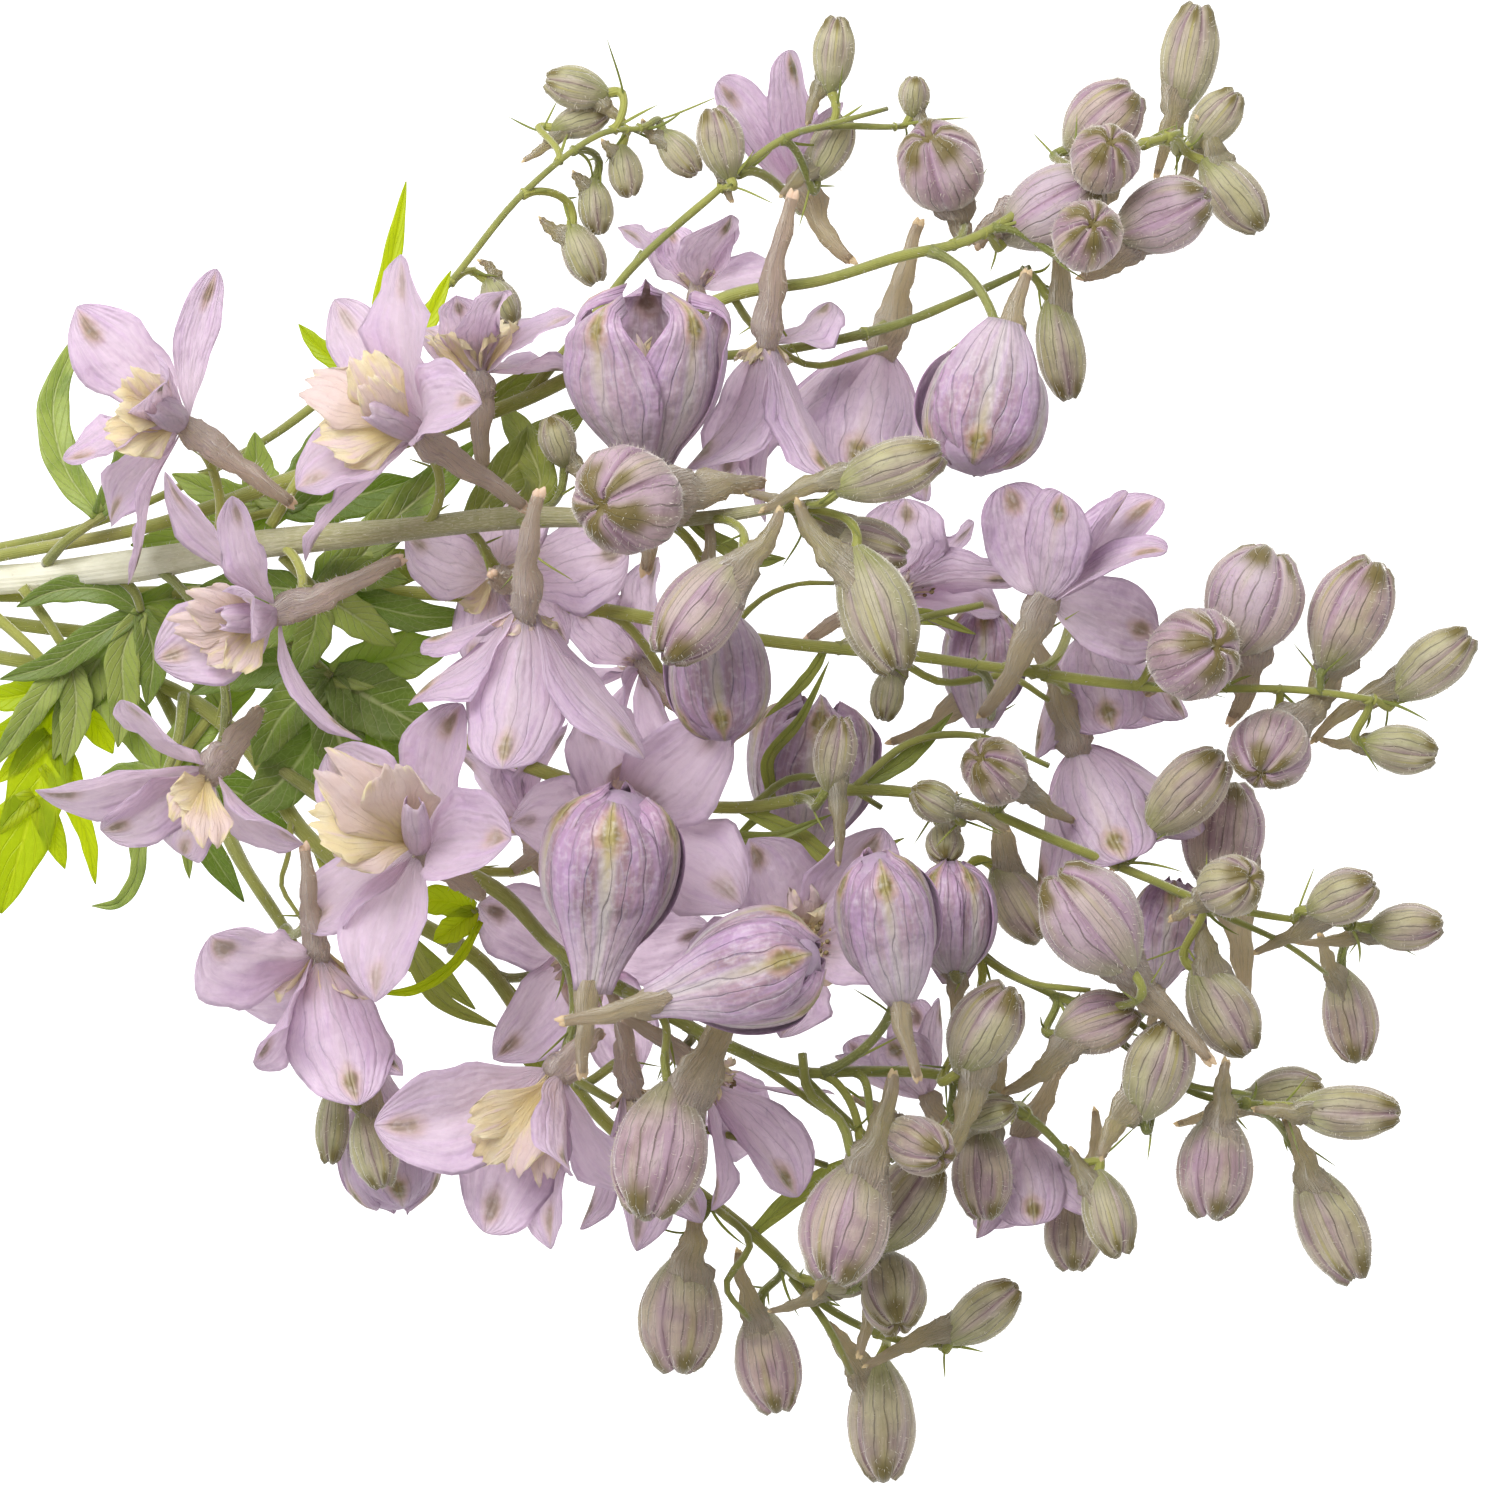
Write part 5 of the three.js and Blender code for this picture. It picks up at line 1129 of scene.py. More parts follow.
def folded_petals(form, pose, size, look, rng):
    """The inner petals of a closed flower, which fill it up to the gap at its nose."""
    turns = ring_turns(FOLDED_SIDES)
    line = np.zeros((len(FOLDED), 3))
    line[:, 2] = FOLDED[:, 0] * look["tall"]
    pleats = 1 + 0.12 * np.sin(4 * turns + rng.uniform(0, 6)) + 0.05 * np.sin(9 * turns + rng.uniform(0, 6))
    points, faces = loft(sweep(line, FOLDED[:, 1], FOLDED_SIDES, np.tile(pleats, (len(FOLDED), 1))))
    form.add(pose(points, size), faces, SEPAL, 0.9, 0.6, tone=0.9, age=0.35, inner=0.2)


# How much wider the spur's root is where the sepals stand close round it: by station, from the tip.
CLOSED_THROAT = np.array([1.0, 1.05, 1.2, 1.3, 1.5])
# The inner petals of the flowers that lie uppermost: the tips, as x, y, z, and the half widths.
FANS = {
    1: [(86.3, 35.8, 67, 3.4), (83.2, 30.0, 66, 3.8), (82.2, 24.0, 63, 3.6), (86.8, 21.6, 60, 3.2)],
    2: [(124.6, 38.4, 82, 4.2), (116.2, 32.6, 80, 4.4), (125.6, 34.0, 86, 3.2), (117.6, 23.6, 78, 4.2),
        (121.6, 19.6, 76, 3.4)],
    5: [(95.8, -2.4, 70, 3.6), (93.4, -7.6, 68, 3.2), (98.6, -13.4, 66, 3.8), (103.0, -16.2, 66, 3.0)],
    7: [(94.6, -41.0, 57, 3.2), (99.8, -45.6, 58, 3.4), (93.6, -36.4, 58, 2.8)],
    8: [(130.4, -27.0, 74, 5.4), (120.4, -30.8, 73, 5.4), (116.2, -39.4, 69, 5.0), (121.0, -46.4, 67, 3.6)],
    10: [(142, -91.6, 52, 3.6), (145, -96.8, 52, 4), (150, -99.8, 51, 3.8), (155.4, -101, 50, 3.2)],
}
# Where those petals grow from, in the flower's own axes.
THROAT = (0, 0.6, 3.2)
TUBE_RADIUS = 2.1
# Flowers with a rolled lilac tube over the throat: the tube's end, as x, y, z.
TUBES = {1: (90.6, 29.4, 68), 2: (126.0, 28.6, 84), 5: (101.4, -6.6, 73), 8: (134.2, -36.0, 74)}


def set_out(root, end, facing):
    """The length from root to end, the way there, the way up nearest to facing, and the way to the side."""
    length = np.linalg.norm(end - root)
    ahead = (end - root) / length
    up = unit(facing - ahead * facing.dot(ahead))
    return length, ahead, up, np.cross(ahead, up)


def fan(form, root, tip, half_width, frill, rng):
    """A broad frilled petal that lies open to the light, on a narrow root."""
    v, u = np.linspace(0, 1, 17), np.linspace(-1, 1, 19)
    facing = unit(np.array([rng.uniform(-0.35, 0.35), rng.uniform(-0.35, 0.35), 1.0]))
    length, ahead, up, sideways = set_out(root, np.array(tip), facing)
    phase = rng.uniform(0, 6.28)
    width = 1.3 * half_width * (0.2 + 0.8 * np.clip((v - 0.1) / 0.62, 0, 1) ** 1.2) * (1 - 0.22 * v ** 6)
    edge = 1 - 0.06 * np.abs(np.sin(2.9 * u + phase)) - 0.22 * u ** 2 - 0.10 * np.exp(-(u / 0.14) ** 2)
    edge = edge + 0.025 * np.sin(8 * u + phase) + 0.012 * np.sin(19 * u + 2 * phase)
    down_v = v[:, None]
    run = down_v * (1 - down_v ** 2 * (1 - edge))
    rise = 0.55 * length * (run - run ** 2) + 0.25 * length * run ** 3 * rng.uniform(-1, 0.6)
    wave = np.sin(3.4 * u + 2 * down_v + phase) + 0.9 * down_v ** 3 * np.sin(10 * u + 2 * phase)
    rise = rise + frill * down_v ** 2 * (0.3 + np.abs(u)) * wave + 0.14 * half_width * u ** 2 * down_v
    grid = root + (run * length)[..., None] * ahead + (width[:, None] * u)[..., None] * sideways
    grid = grid + rise[..., None] * up
    form.add(*shell(grid, SEPAL_THICKNESS), BEE, *shell_map(u, v), tone=rng.uniform(0, 1))


def tube(form, root, end, radius, rng):
    """A rolled petal that hides the throat, open and torn at its end."""
    v, u = np.linspace(0, 1, 13), np.linspace(-1, 1, 15)
    length, ahead, up, sideways = set_out(root, np.array(end), np.array([0, 0, 1.0]))
    phase = rng.uniform(0, 6.28)
    around = u * math.radians(150)
    down_v = v[:, None]
    wide = radius * (1.0 + 0.25 * np.sin(3 * down_v) - 0.2 * down_v) * (1 + 0.06 * np.sin(5 * u + phase))
    run = down_v * (1 - 0.16 * down_v ** 3 * (np.abs(u) + 0.3 * np.sin(9 * u + phase)))
    lift = 0.22 * length * (run - run ** 2)
    x, z = np.sin(around) * wide, np.cos(around) * wide + lift
    grid = root + (run * length)[..., None] * ahead + x[..., None] * sideways + z[..., None] * up
    form.add(*shell(grid, SEPAL_THICKNESS), SEPAL, *shell_map(u, v * 0.6), tone=0.7, age=0.25, inner=0.4)


# The inner petals of an open flower: turn, angles at root and tip, length, half width, depth of the frill.
BEES = [(26, 8, 14, 12.0, 3.2, 0.6), (58, 14, 38, 13.5, 4.6, 1.2), (118, 26, 62, 14.5, 5.8, 1.6),
        (158, 22, 50, 13.0, 5.0, 1.4)]
BEE_SIZE = 0.85


def loose_sepals(form, pose, size, angles, look, rng):
    """Five sepals at even turns, with small differences."""
    for k in range(5):
        stray, closed = look["stray"], look["closed"]
        start = angles[0] + rng.uniform(-stray, stray)
        end = angles[1] + rng.uniform(-stray, stray) * 1.6
        turn = 2 * math.pi * k / 5 + rng.uniform(-0.05, 0.05)
        length = SEPAL_LENGTH * (0.94 if k == 0 else 1) * rng.uniform(0.96, 1.03)
        half_width = SEPAL_HALF_WIDTH * look["breadth"] * rng.uniform(0.94, 1.06)
        skew = 9 if k == 4 and closed else rng.uniform(-4, 4)
        sepal(form, pose, size, turn, (start, end), length, half_width, look["hollow"], skew, look, rng,
              OVERLAPS[k] if closed else 0)


def bee(form, pose, size, angles, rng):
    """The inner petals of an open flower, in pairs to both sides."""
    scale = BEE_SIZE * (0.5 if angles == FLARED else 1.0)
    for turn, start, end, length, half_width, frill in BEES:
        for side in (-1, 1):
            around = math.radians(turn + rng.uniform(-7, 7)) * side
            bent_by = start + rng.uniform(-4, 4), end + rng.uniform(-9, 9)
            inner_petal(form, pose, size, around, bent_by, length * rng.uniform(0.9, 1.1) * scale,
                        half_width * scale, frill * scale, rng)


def bloom(entry, number):
    """One flower: spur, five sepals, and where it is open the bee and the stamens."""
    seat, heading, rise, roll, angles, size = entry[1:]
    rng = np.random.default_rng(700 + number)
    pose = Pose(seat, heading, rise, roll)
    form = Form()
    closed = angles in (CUP, BELL)
    tone = rng.uniform(0.2, 0.8)
    look = {**(SHUT if closed else OPENED), "closed": closed, "tone": tone,
            "age": AGES.get(number, KIND_AGES[angles]), "tall": SQUAT.get(number, 1.0)}
    line = np.array(SPUR_LINE)
    if closed:
        line[:, 3] *= CLOSED_THROAT
    if number in SPUR_TIPS:
        draw_aside(line, pose, size, SPUR_TIPS[number])
    spur(form, pose, size, line, tone, look["age"], look["green"], rng)
    if number in SHAPED:
        for x, y, z, half_width, swing, cup, skew in SHAPED[number]:
            turn, bent_by, length = aim(pose, size, (x, y, z), swing)
            sepal(form, pose, size, turn, bent_by, length, half_width / size, cup, skew, look, rng)
    elif angles == CUP:
        full = size * FULLER.get(number, 1.0)
        for k in range(5):
            turn = 2 * math.pi * k / 5 + rng.uniform(-0.05, 0.05)
            wrapped(form, pose, full, turn, OVERLAPS[k], PARTED.get(number, 0), number in DOMED, look, rng)
        if number not in PARTED:
            folded_petals(form, pose, full, look, rng)
    else:
        loose_sepals(form, pose, size, angles, look, rng)
    if number in FANS:
        throat = pose(THROAT, size)
        for x, y, z, half_width in FANS[number]:
            fan(form, throat, (x, y, z), half_width, 0.16 * half_width, rng)
        if number in TUBES:
            tube(form, throat, TUBES[number], TUBE_RADIUS, rng)
        stamens(form, pose, size * 0.85, rng)
    elif number in PARTED:
        for turn, start, end, length, half_width, frill in BEES[:2]:
            for side in (-1, 1):
                inner_petal(form, pose, size, math.radians(turn) * side, (start, end * 0.5), length * 1.3,
                            half_width, frill, rng)
    elif not closed:
        bee(form, pose, size, angles, rng)
        stamens(form, pose, size, rng)
    return form


# ------------------------------------------------------------------ buds

BUD_ROWS = 23
# Each sepal of a bud: its share of the way round, and 1 where it lies over its neighbours, -1 under them.
BUD_SEPALS = [(0.27, 1.0), (0.115, -1.0), (0.265, 1.0), (0.12, -1.0), (0.23, 0.2)]
BUD_COLUMNS = [0.0, 0.07, 0.22, 0.5, 0.78, 0.93, 1.0]
BUD_GAP = 0.012
BUD_PROFILE = [(0, 0.24), (0.05, 0.38), (0.14, 0.60), (0.28, 0.84), (0.44, 0.97), (0.56, 1.0), (0.7, 0.95),
               (0.82, 0.80), (0.9, 0.64), (0.955, 0.52), (1.0, 0.36)]
BUD_SPUR = [(0, 0.43, -0.92, 0.07), (0, 0.41, -0.62, 0.115), (0, 0.33, -0.3, 0.175), (0, 0.2, 0.0, 0.275),
            (0, 0.06, 0.3, 0.38)]


def bud_pose(place, roll):
    x, y, z, heading, rise, length = place[:6]
    pose = Pose((x, y, z), heading, rise, roll)
    pose.seat = pose([0, 0, -length / 2])
    return pose


def bud(form, place, roll, rng):
    """A ripening bud: five sepals folded over each other, drawn to knobs at the nose, and a spur."""
    length, width = place[5:]
    pose = bud_pose(place, roll)
    shift = rng.uniform(0, 1)
    turns, f, level, share = [], [], [], []
    start = shift
    for span, over in BUD_SEPALS:
        for column in BUD_COLUMNS:
            turns.append(2 * math.pi * (start + span * column) + BUD_GAP * (1 - 2 * column))
            f.append(column)
            level.append(over)
            share.append(span)
        start += span
    turns, f, level, share = (np.array(values) for values in (turns, f, level, share))
    sides = len(turns)
    s = np.linspace(0, 1, BUD_ROWS)
    s = s + 0.05 * np.sin(2 * math.pi * s)
    fine = curve(BUD_PROFILE, 90)
    radius = 0.5 * width * np.interp(s, fine[:, 0], fine[:, 1]) * (1 + rng.uniform(-0.03, 0.03))
    crest = (1 - np.abs(2 * f - 1) ** 2.2)[None, :]
    belly = np.sin(math.pi * np.clip(s, 0, 1))[:, None] ** 0.6
    seam = (0.03 + 0.06 * s + 0.14 * s ** 6)[:, None] * (1 - crest) * (share / 0.2)
    shape = 1 + 0.035 * level * belly - seam
    nose = np.exp(-((s - 0.955) / 0.04) ** 2)[:, None]
    shape = shape + nose * (0.16 * crest - 0.06) * (1 + 0.3 * level)
    lumps = rng.uniform(-0.03, 0.03, len(BUD_SEPALS))
    shape = shape + np.repeat(lumps, len(BUD_COLUMNS))[None, :] * belly * crest
    shape = shape + 0.02 * np.sin(2 * turns + rng.uniform(0, 6))[None, :] * belly
    shape = shape + 0.006 * np.sin(17 * s[:, None] + 9 * f[None, :] + shift * 40) * crest
    drawn = np.clip((s - 0.8) / 0.2, 0, 1)[:, None] ** 2
    x = radius[:, None] * shape * np.cos(turns)
    y = radius[:, None] * shape * np.sin(turns)
    z = (s * length)[:, None] - 0.05 * length * drawn * (1 - crest) + 0.012 * length * drawn * level
    lean = rng.uniform(-0.03, 0.03, 2) * width
    rings = np.stack([x + lean[0] * s[:, None] ** 2, y + lean[1] * s[:, None] ** 2, z], axis=-1)
    pit = rings[-1] * [0.5, 0.5, 1] - [0, 0, 0.035 * length]
    points, faces = loft(np.concatenate([rings, pit[None]]))
    heights = np.append(s, 1.03)
    low, high = np.meshgrid(np.arange(BUD_ROWS), np.arange(sides), indexing="ij")
    after = np.where(f[(high + 1) % sides] > f[high], f[(high + 1) % sides], f[high])
    here, v0, v1 = f[high], heights[low], heights[low + 1]
    corners = np.stack([np.stack([here, v0], -1), np.stack([after, v0], -1),
                        np.stack([after, v1], -1), np.stack([here, v1], -1)], axis=2).reshape(-1, 2)
    caps = np.repeat([[0.5, 0.0], [0.5, 1.03]], 3 * sides, axis=0)
    age = BUD_AGES.get(place[:2], float(np.clip((width - 6.5) / 7.0, 0, 1)))
    tone = rng.uniform(0, 1)
    kind = np.append(np.tile((1 - level) / 2, BUD_ROWS + 1), [0.5, 0.5])
    form.add(pose(points), faces, BUD, 0, 0, tone=tone, age=age, inner=kind, down=1.0,
             corners=np.concatenate([corners, caps]))
    line = np.array(BUD_SPUR) * [width, width, length, width]
    if place[:2] in SPUR_ENDS:
        draw_aside(line, pose, 1.0, SPUR_ENDS[place[:2]])
    spur(form, pose, 1.0, line, tone, age, 1 - 0.6 * age, rng)


# ------------------------------------------------------------------ stalks

# Where a pedicel meets a bud and a flower, and where it ends inside them.
BUD_SEAT, BUD_INSIDE = (0, -0.9, -0.8), (0, 0, 0.8)
FLOWER_SEAT, FLOWER_INSIDE = (0, -2.1, -1.8), (0, -0.9, 0.2)
PEDICEL_SIDES = 9
# Sides and ribs of the main stem, of a branch and of a twig.
STEM_SHAPE, BRANCH_SHAPE, TWIG_SHAPE = (22, 6), (14, 5), (9, 5)
# The distance between the rings of a stem, and the length that its finish spans once.
RING_STEP, FINISH_SPAN = 2.2, 60


def foot(axes, seat):
    """The point of the axes nearest to a seat, moved back down the axis by a share of the distance."""
    best = (math.inf, None, 0)
    for axis in axes:
        points = curve([station[:3] for station in axis], 61)
        gaps = np.linalg.norm(points - seat, axis=1)
        k = int(gaps.argmin())
        if gaps[k] < best[0]:
            best = (gaps[k], axis, k / 60)
    reach, axis, t = best
    route = np.array([station[:3] for station in axis], dtype=float)
    long = curve(route, 601)
    back = 0.35 * reach / np.linalg.norm(np.diff(long, axis=0), axis=1).sum()
    k = int(round(max(t - back, 0.02) * 600))
    return long[k], unit(long[min(k + 2, 600)] - long[max(k - 2, 0)])


def leaflet(form, points, half_width, slot, rng):
    """A narrow pointed bract along a line of points."""
    v, u = np.linspace(0, 1, len(points)), np.linspace(-1, 1, 5)
    tangents = unit(np.gradient(points, axis=0))
    sideways = unit(np.cross([0, 0, 1.0], tangents) + 1e-6)
    up = np.cross(tangents, sideways)
    width = half_width * np.maximum((0.55 + 1.3 * v) * (1 - v) ** 0.8, 0.03)
    grid = points[:, None, :] + (width[:, None] * u)[..., None] * sideways[:, None, :]
    grid = grid + (0.36 * width[:, None] * np.abs(u))[..., None] * up[:, None, :]
    form.add(*shell(grid, BRACT_THICKNESS), slot, *shell_map(u, v), tone=rng.uniform(0, 1))


def pedicel(form, axes, pose, end, radius, rng, deep, age):
    """A flower stalk from its axis to the flower or bud, with its bract and two bracteoles."""
    goal = pose(end)
    start, along = foot(axes, goal)
    back = pose.way((0, -0.45, -1))
    reach = float(np.linalg.norm(goal - start))
    outward = unit(goal - start)
    knots = [start, start + along * 0.25 * reach + outward * 0.2 * reach, goal + back * 0.36 * reach, goal]
    t = np.linspace(0, 1, 15)[:, None]
    line = ((1 - t) ** 3 * knots[0] + 3 * (1 - t) ** 2 * t * knots[1]
            + 3 * (1 - t) * t ** 2 * knots[2] + t ** 3 * knots[3])
    line = np.vstack([line, goal + (pose(deep) - goal) * 0.6, pose(deep)])
    t = np.linspace(0, 1, len(line))
    root, joint = np.exp(-(t / 0.07) ** 2), np.exp(-((t - 0.68) / 0.04) ** 2)
    radii = radius * (1 + 0.55 * root + 0.5 * t ** 6 + 0.18 * joint)
    form.add(*loft(sweep(line, radii, PEDICEL_SIDES)), STALK, *tube_map(PEDICEL_SIDES, 1, t),
             tone=rng.uniform(0, 1), age=age, down=0.5)
    lift = unit(outward * 0.9 + along * 0.7 + rng.uniform(-0.35, 0.35, 3))
    bract = BRACT_LENGTH * rng.uniform(0.6, 1.15)
    droop = rng.uniform(-0.7, 0.7, 3)
    s = np.linspace(0, 1, 10)[:, None]
    leaflet(form, start + lift * bract * s + droop * bract * 0.75 * s ** 2, BRACT_HALF_WIDTH, BRACT, rng)
    node = line[9]
    ahead = unit(line[11] - line[9])
    sideways = unit(np.cross(ahead, rng.uniform(-1, 1, 3)))
    for sign in (-1, 1):
        small = BRACTEOLE_LENGTH * rng.uniform(0.75, 1.25)
        lift = unit(ahead * 0.9 + sideways * sign * 0.65)
        s = np.linspace(0, 1, 9)[:, None]
        curl = sideways * sign * 0.3 + rng.uniform(-0.75, 0.75, 3)
        route = node + lift * small * s + curl * small * (s ** 2 - 0.3 * s ** 4)
        leaflet(form, route, BRACTEOLE_HALF_WIDTH, BRACT, rng)


def bud_roll(axes, place):
    """The roll that turns a bud's spur towards its end, or along the axis that carries it."""
    pose = bud_pose(place, 0)
    if place[:2] in SPUR_ENDS:
        along = np.array(SPUR_ENDS[place[:2]]) - pose.seat
    else:
        along = foot(axes, pose.seat)[1]
    local = pose.axes @ along
    return -math.degrees(math.atan2(local[0], local[1]))


def axis_tube(form, axis, slot, rng, sides, grooves):
    """A stem or branch, ribbed, with slight swellings."""
    rows = int(sum(math.dist(a[:3], b[:3]) for a, b in zip(axis, axis[1:])) / RING_STEP)
    stations = curve(axis, rows)
    t = np.linspace(0, 1, rows)
    turns, down_t = ring_turns(sides), t[:, None]
    shape = 1 + 0.055 * np.cos(grooves * turns + 0.8 * down_t) + 0.03 * np.sin(21 * down_t + 2 * turns)
    slim = 1.0 if slot == STEM else 0.64 + 0.18 * np.clip((stations[:, 0] - 70) / 50, 0, 1)
    radii = slim * stations[:, 3] * (1 + 0.05 * np.sin(t * 37 + rng.uniform(0, 6)))
    if slot == STEM:
        tone = np.append(np.repeat(np.clip(2.4 * t - 0.55, 0, 1), sides), [0, 1])
    else:
        tone = rng.uniform(0.3, 0.7)
    around, run = tube_map(sides, 2, t * rows * RING_STEP / FINISH_SPAN)
    form.add(*loft(sweep(stations[:, :3], radii, sides, shape)), slot, around, run, tone=tone, down=0.35)


def stalk(name, number):
    """A stem or branch with its twigs and bracts, its buds, and the pedicels of its flowers."""
    rng = np.random.default_rng(40 + number)
    form = Form()
    axes = STALKS[name]
    slot, shape = (STEM, STEM_SHAPE) if name == "main_stem" else (STALK, BRANCH_SHAPE)
    for axis in axes:
        axis_tube(form, axis, slot, rng, *shape)
    for axis in TWIGS.get(name, []):
        axis_tube(form, axis, STALK, rng, *TWIG_SHAPE)
    for route, half_width in BRACTS.get(name, []):
        lobe(form, route, half_width, 0, BRACT, rng)
    for place in BUDS[name]:
        roll = bud_roll(axes, place)
        radius = min(PEDICEL_RADIUS, 0.1 * place[6])
        bud(form, place, roll, rng)
        pedicel(form, axes, bud_pose(place, roll), BUD_SEAT, radius, rng, BUD_INSIDE, 0.0)
    for carrier, seat, heading, rise, roll, _, _ in BLOOMS:
        if carrier == name:
            pedicel(form, axes, Pose(seat, heading, rise, roll), FLOWER_SEAT, PEDICEL_RADIUS * 1.15, rng,
                    FLOWER_INSIDE, 0.15)
    return form


# ------------------------------------------------------------------ leaves

# How much broader a lobe is at its widest than its half width says.
LOBE_BREADTH = 1.3
LEAF_STALK_SIDES = 10


def lobe(form, route, half_width, tooth_pairs, slot, rng):
    """A pointed lobe along a route, folded along its midrib, with pairs of side teeth."""
    rows = 30
    v, u = np.linspace(0, 0.995, rows), np.linspace(-1, 1, 11)
    fine = curve(route, 200)
    points = np.column_stack([np.interp(v, np.linspace(0, 1, 200), fine[:, i]) for i in range(3)])
    tangents = unit(np.gradient(points, axis=0))
    sideways = unit(np.cross([0, 0, 1.0], tangents))
    up = np.cross(tangents, sideways)
    width = LOBE_BREADTH * half_width * np.maximum((0.35 + 2.1 * v) * (1 - v) ** 0.9, 0.03)
    phase = rng.uniform(0, 6.28)
    wide, down_v = width[:, None], v[:, None]
    x = wide * u * (1 + 0.05 * np.sin(26 * down_v + phase))
    z = 0.3 * wide * np.abs(u) ** 1.3 + 0.12 * wide * np.sin(9 * down_v + phase) * u
    z = z - 0.16 * np.exp(-(u / 0.12) ** 2)
    grid = points[:, None, :] + x[..., None] * sideways[:, None, :] + z[..., None] * up[:, None, :]
    form.add(*shell(grid, LOBE_THICKNESS), slot, *shell_map(u, v), tone=rng.uniform(0, 1))
    for pair in range(tooth_pairs):
        for side in (-1, 1):
            k = int((0.3 + 0.24 * pair) * (rows - 1))
            heading = unit(tangents[k] + sideways[k] * side * 0.95)
            length = 2.3 * width[k]
            s = np.linspace(0, 1, 9)[:, None]
            line = points[k] + heading * length * s + np.array([0, 0, 0.1])
            leaflet(form, line + tangents[k] * 0.18 * length * s ** 2, 0.27 * length, slot, rng)


def leaf(young, route, lobes, number):
    """A leaf: its stalk and its lobes."""
    rng = np.random.default_rng(300 + number)
    form = Form()
    line = curve(route, 18)
    points, faces = loft(sweep(line, np.linspace(1.0, 0.75, len(line)), LEAF_STALK_SIDES))
    form.add(points, faces, STALK, *tube_map(LEAF_STALK_SIDES, 1, np.linspace(0, 1, len(line))),
             tone=rng.uniform(0, 1), down=0.4)
    for lobe_route, half_width, tooth_pairs in lobes:
        lobe(form, lobe_route, half_width, tooth_pairs, YOUNG if young else LEAF, rng)
    return form


# ------------------------------------------------------------------ down: fine hairs that stand on a skin

def down_tree():
    """Hairs scattered by the mesh's own down mark, each a slim cone that leans a little."""
    tree = bpy.data.node_groups.new("down", "GeometryNodeTree")
    sockets = {}

    def socket(name, kind, direction="INPUT"):
        made = tree.interface.new_socket(name, in_out=direction, socket_type=kind)
        sockets[name] = made.identifier

    socket("Skin", "NodeSocketGeometry")
    for name in ("Density", "Length", "Radius", "Lean"):
        socket(name, "NodeSocketFloat")
    socket("Seed", "NodeSocketInt")
    socket("Material", "NodeSocketMaterial")
    socket("Hairs", "NodeSocketGeometry", "OUTPUT")

    def node(kind, settings, values):
        made = tree.nodes.new(kind)
        for key, value in settings.items():
            setattr(made, key, value)
        for key, value in values.items():
            if isinstance(value, bpy.types.NodeSocket):
                tree.links.new(value, made.inputs[key])
            else:
                made.inputs[key].default_value = value
        return made

    given = node("NodeGroupInput", {}, {}).outputs
    mark = node("GeometryNodeInputNamedAttribute", {"data_type": "FLOAT"}, {"Name": "down"})
    thick = node("ShaderNodeMath", {"operation": "MULTIPLY"}, {
        0: mark.outputs["Attribute"], 1: given["Density"]})
    points = node("GeometryNodeDistributePointsOnFaces", {}, {
        "Mesh": given["Skin"], "Density": thick.outputs[0], "Seed": given["Seed"]})
    cone = node("GeometryNodeMeshCone", {"fill_type": "NGON"}, {
        "Vertices": 3, "Side Segments": 1, "Radius Top": 0.0, "Radius Bottom": given["Radius"],
        "Depth": given["Length"]})
    less = node("ShaderNodeMath", {"operation": "MULTIPLY"}, {0: given["Lean"], 1: -1.0})
    low, high = (node("ShaderNodeCombineXYZ", {}, dict.fromkeys(range(3), end))
                 for end in (less.outputs[0], given["Lean"]))
    lean = node("FunctionNodeRandomValue", {"data_type": "FLOAT_VECTOR"}, {
        0: low.outputs[0], 1: high.outputs[0], "Seed": given["Seed"]})
    turned = node("FunctionNodeRotateRotation", {"rotation_space": "LOCAL"}, {
        "Rotation": points.outputs["Rotation"], "Rotate By": lean.outputs[0]})
    sizes = node("FunctionNodeRandomValue", {"data_type": "FLOAT"}, {
        2: SHORTEST_HAIR, 3: LONGEST_HAIR, "Seed": given["Seed"]})
    hairs = node("GeometryNodeInstanceOnPoints", {}, {
        "Points": points.outputs["Points"], "Instance": cone.outputs["Mesh"],
        "Rotation": turned.outputs[0], "Scale": sizes.outputs["Value"]})
    real = node("GeometryNodeRealizeInstances", {}, {"Geometry": hairs.outputs[0]})
    dressed = node("GeometryNodeSetMaterial", {}, {
        "Geometry": real.outputs[0], "Material": given["Material"]})
    node("NodeGroupOutput", {}, {"Hairs": dressed.outputs[0]})
    return tree, sockets


def down(source, name, seed):
    """The hairs of a piece, as a piece of their own."""
    skin = bpy.data.objects.new(name + "_skin", source.data.copy())
    bpy.context.scene.collection.objects.link(skin)
    modifier = skin.modifiers.new("down", "NODES")
    tree, sockets = DOWN_TREE
    modifier.node_group = tree
    values = {"Density": HAIRS_PER_SQUARE_METRE, "Length": HAIR_LENGTH * MM, "Radius": HAIR_RADIUS * MM,
              "Lean": HAIR_LEAN, "Seed": seed, "Material": FINISHES[DOWN]}
    for key, value in values.items():
        modifier[sockets[key]] = value
    depsgraph = bpy.context.evaluated_depsgraph_get()
    mesh = bpy.data.meshes.new_from_object(skin.evaluated_get(depsgraph))
    mesh.name = name
    skin.modifiers.remove(modifier)
    old = skin.data
    skin.data = mesh
    skin.name = name
    bpy.data.meshes.remove(old)
    return skin


# ------------------------------------------------------------------ assembly

DOWN_TREE = down_tree()

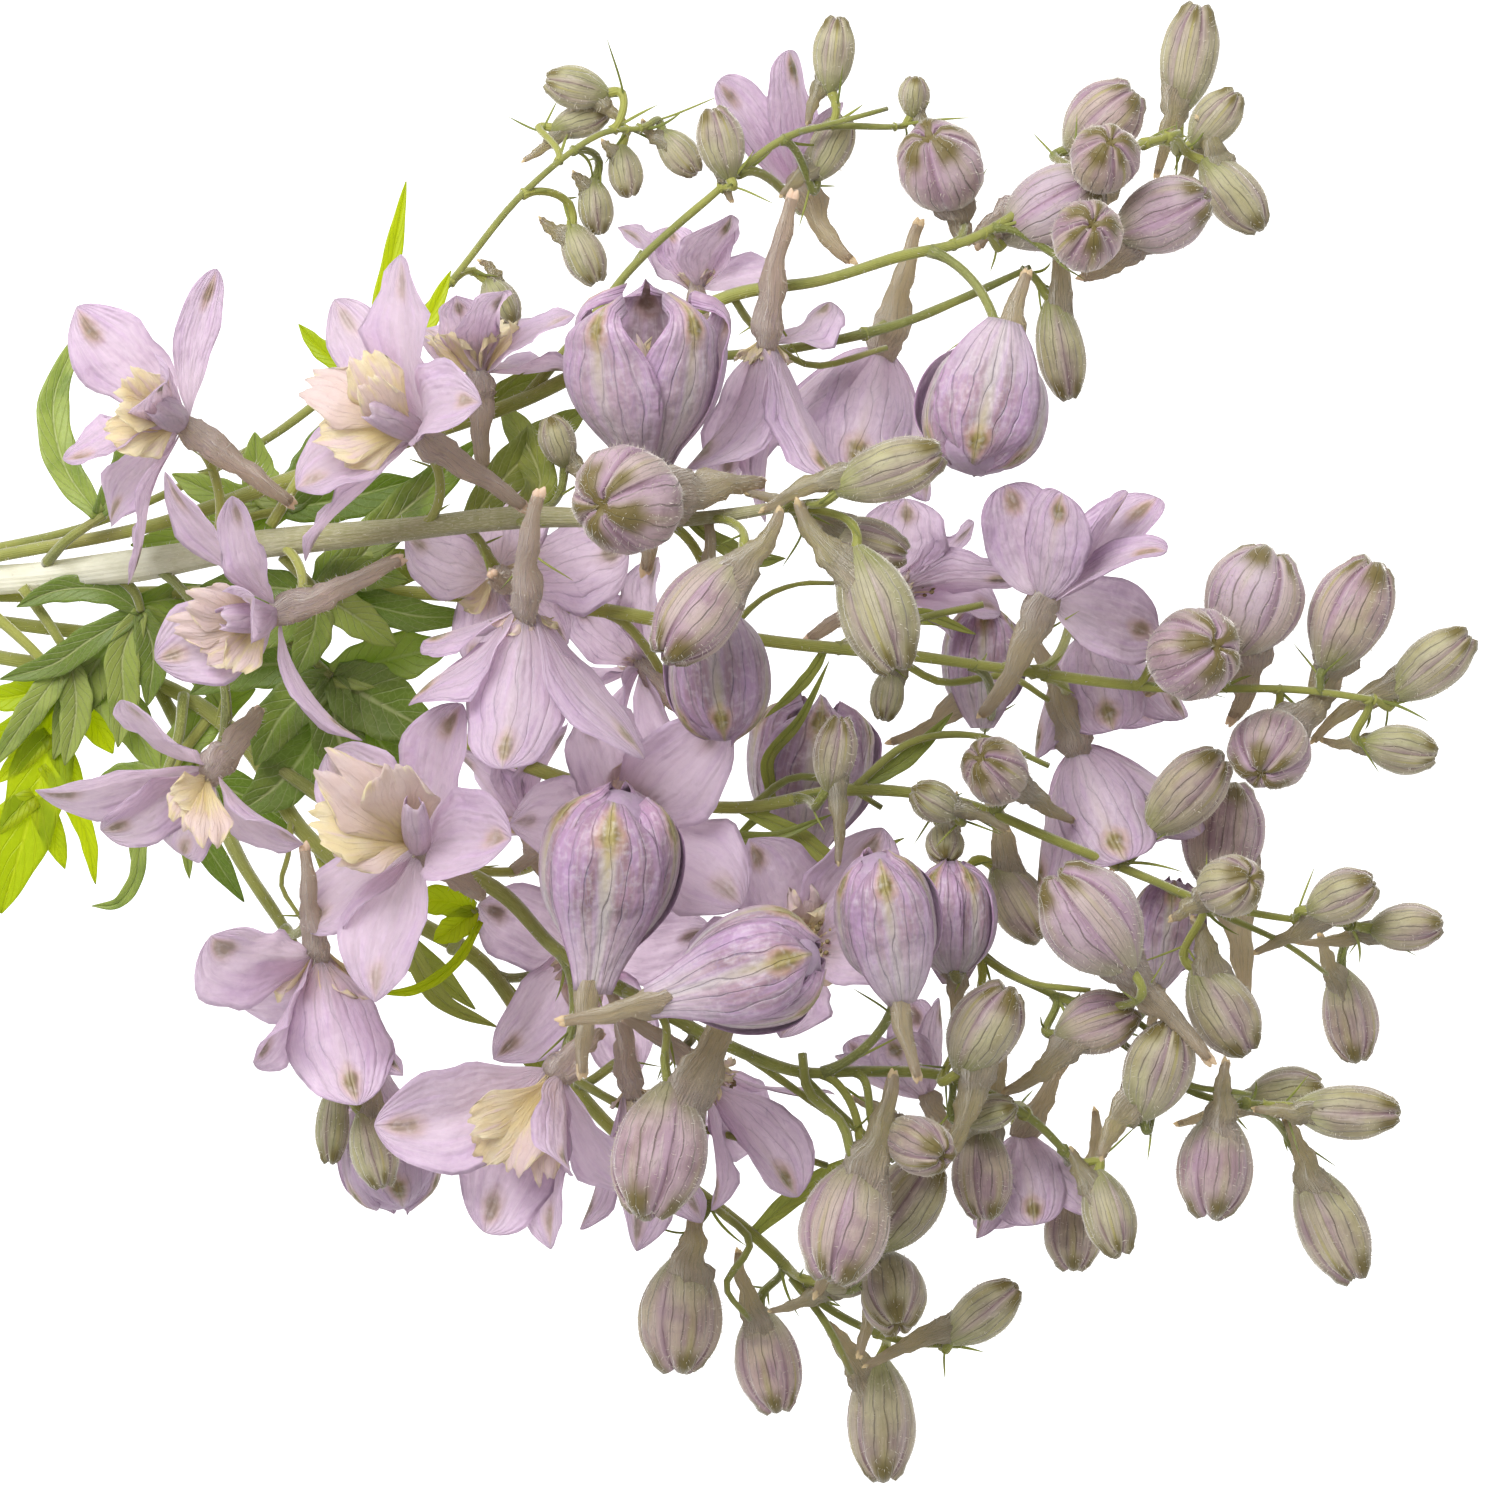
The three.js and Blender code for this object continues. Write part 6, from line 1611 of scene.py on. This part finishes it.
made = []
for number, name in enumerate(STALKS):
    slot_name = "main_stem" if name == "main_stem" else "green_stalk"
    made.append((stalk(name, number).piece(name + "_spike"), name, slot_name))
for number, entry in enumerate(BLOOMS):
    name = f"flower_{number + 1:02d}"
    made.append((bloom(entry, number + 1).piece(name + "_bloom"), name, "petal"))
for number, (name, young, route, lobes) in enumerate(LEAVES):
    slot_name = "young_leaf" if young else "leaf"
    made.append((leaf(young, route, lobes, number).piece(name + "_blade"), name, slot_name))
for obj, node_name, slot_name in made:
    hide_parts(node_name)
    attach(obj, "root")

for number, (obj, node_name, slot_name) in enumerate(made):
    if not node_name.startswith("leaf"):
        hairs = down(obj, node_name + "_down", 11 + number)
        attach(hairs, "root")

# ------------------------------------------------------------------ table, light and camera

TABLE_HALF, TABLE_GLOW, WORLD_GLOW = 3.0, 1.5, 0.64
VIEW_CENTRE = Vector((0.190, -0.02833, 0.045))
VIEW_WIDTH, VIEW_DISTANCE = 0.250, 4.0
LAMP_POWER, LAMP_SIZE, LAMP_PLACE = 26.0, 0.9, Vector((-0.5, 0.75, 1.1))
SENSOR_WIDTH = 36.0

mesh = bpy.data.meshes.new("table")
mesh.from_pydata([(x * TABLE_HALF, y * TABLE_HALF, 0.0) for x, y in ((-1, -1), (1, -1), (1, 1), (-1, 1))],
                 [], [(0, 1, 2, 3)])
table = bpy.data.objects.new("table", mesh)
bpy.context.scene.collection.objects.link(table)
lit = Finish("white_table")
glow = lit.node("ShaderNodeEmission", {}, {"Color": (1, 1, 1, 1), "Strength": TABLE_GLOW})
mesh.materials.append(lit.done(glow))

scene = bpy.context.scene
scene.view_settings.view_transform = "Standard"
scene.view_settings.look = "None"
world = bpy.data.worlds.new("studio")
world.use_nodes = True
background = world.node_tree.nodes["Background"].inputs
background["Color"].default_value = (1.0, 0.99, 0.97, 1.0)
background["Strength"].default_value = WORLD_GLOW
scene.world = world

lamp_data = bpy.data.lights.new("soft_key", "AREA")
lamp_data.shape = "DISK"
lamp_data.size, lamp_data.energy = LAMP_SIZE, LAMP_POWER
lamp = bpy.data.objects.new("soft_key", lamp_data)
lamp.location = VIEW_CENTRE + LAMP_PLACE
lamp.rotation_euler = (VIEW_CENTRE - lamp.location).to_track_quat("-Z", "Y").to_euler()
scene.collection.objects.link(lamp)

camera_data = bpy.data.cameras.new("camera")
camera_data.sensor_width = SENSOR_WIDTH
camera_data.lens = SENSOR_WIDTH * VIEW_DISTANCE / VIEW_WIDTH
camera_data.clip_start, camera_data.clip_end = 0.1, 20.0
camera = bpy.data.objects.new("camera", camera_data)
camera.location = VIEW_CENTRE + Vector((0, 0, VIEW_DISTANCE))
scene.collection.objects.link(camera)
scene.camera = camera
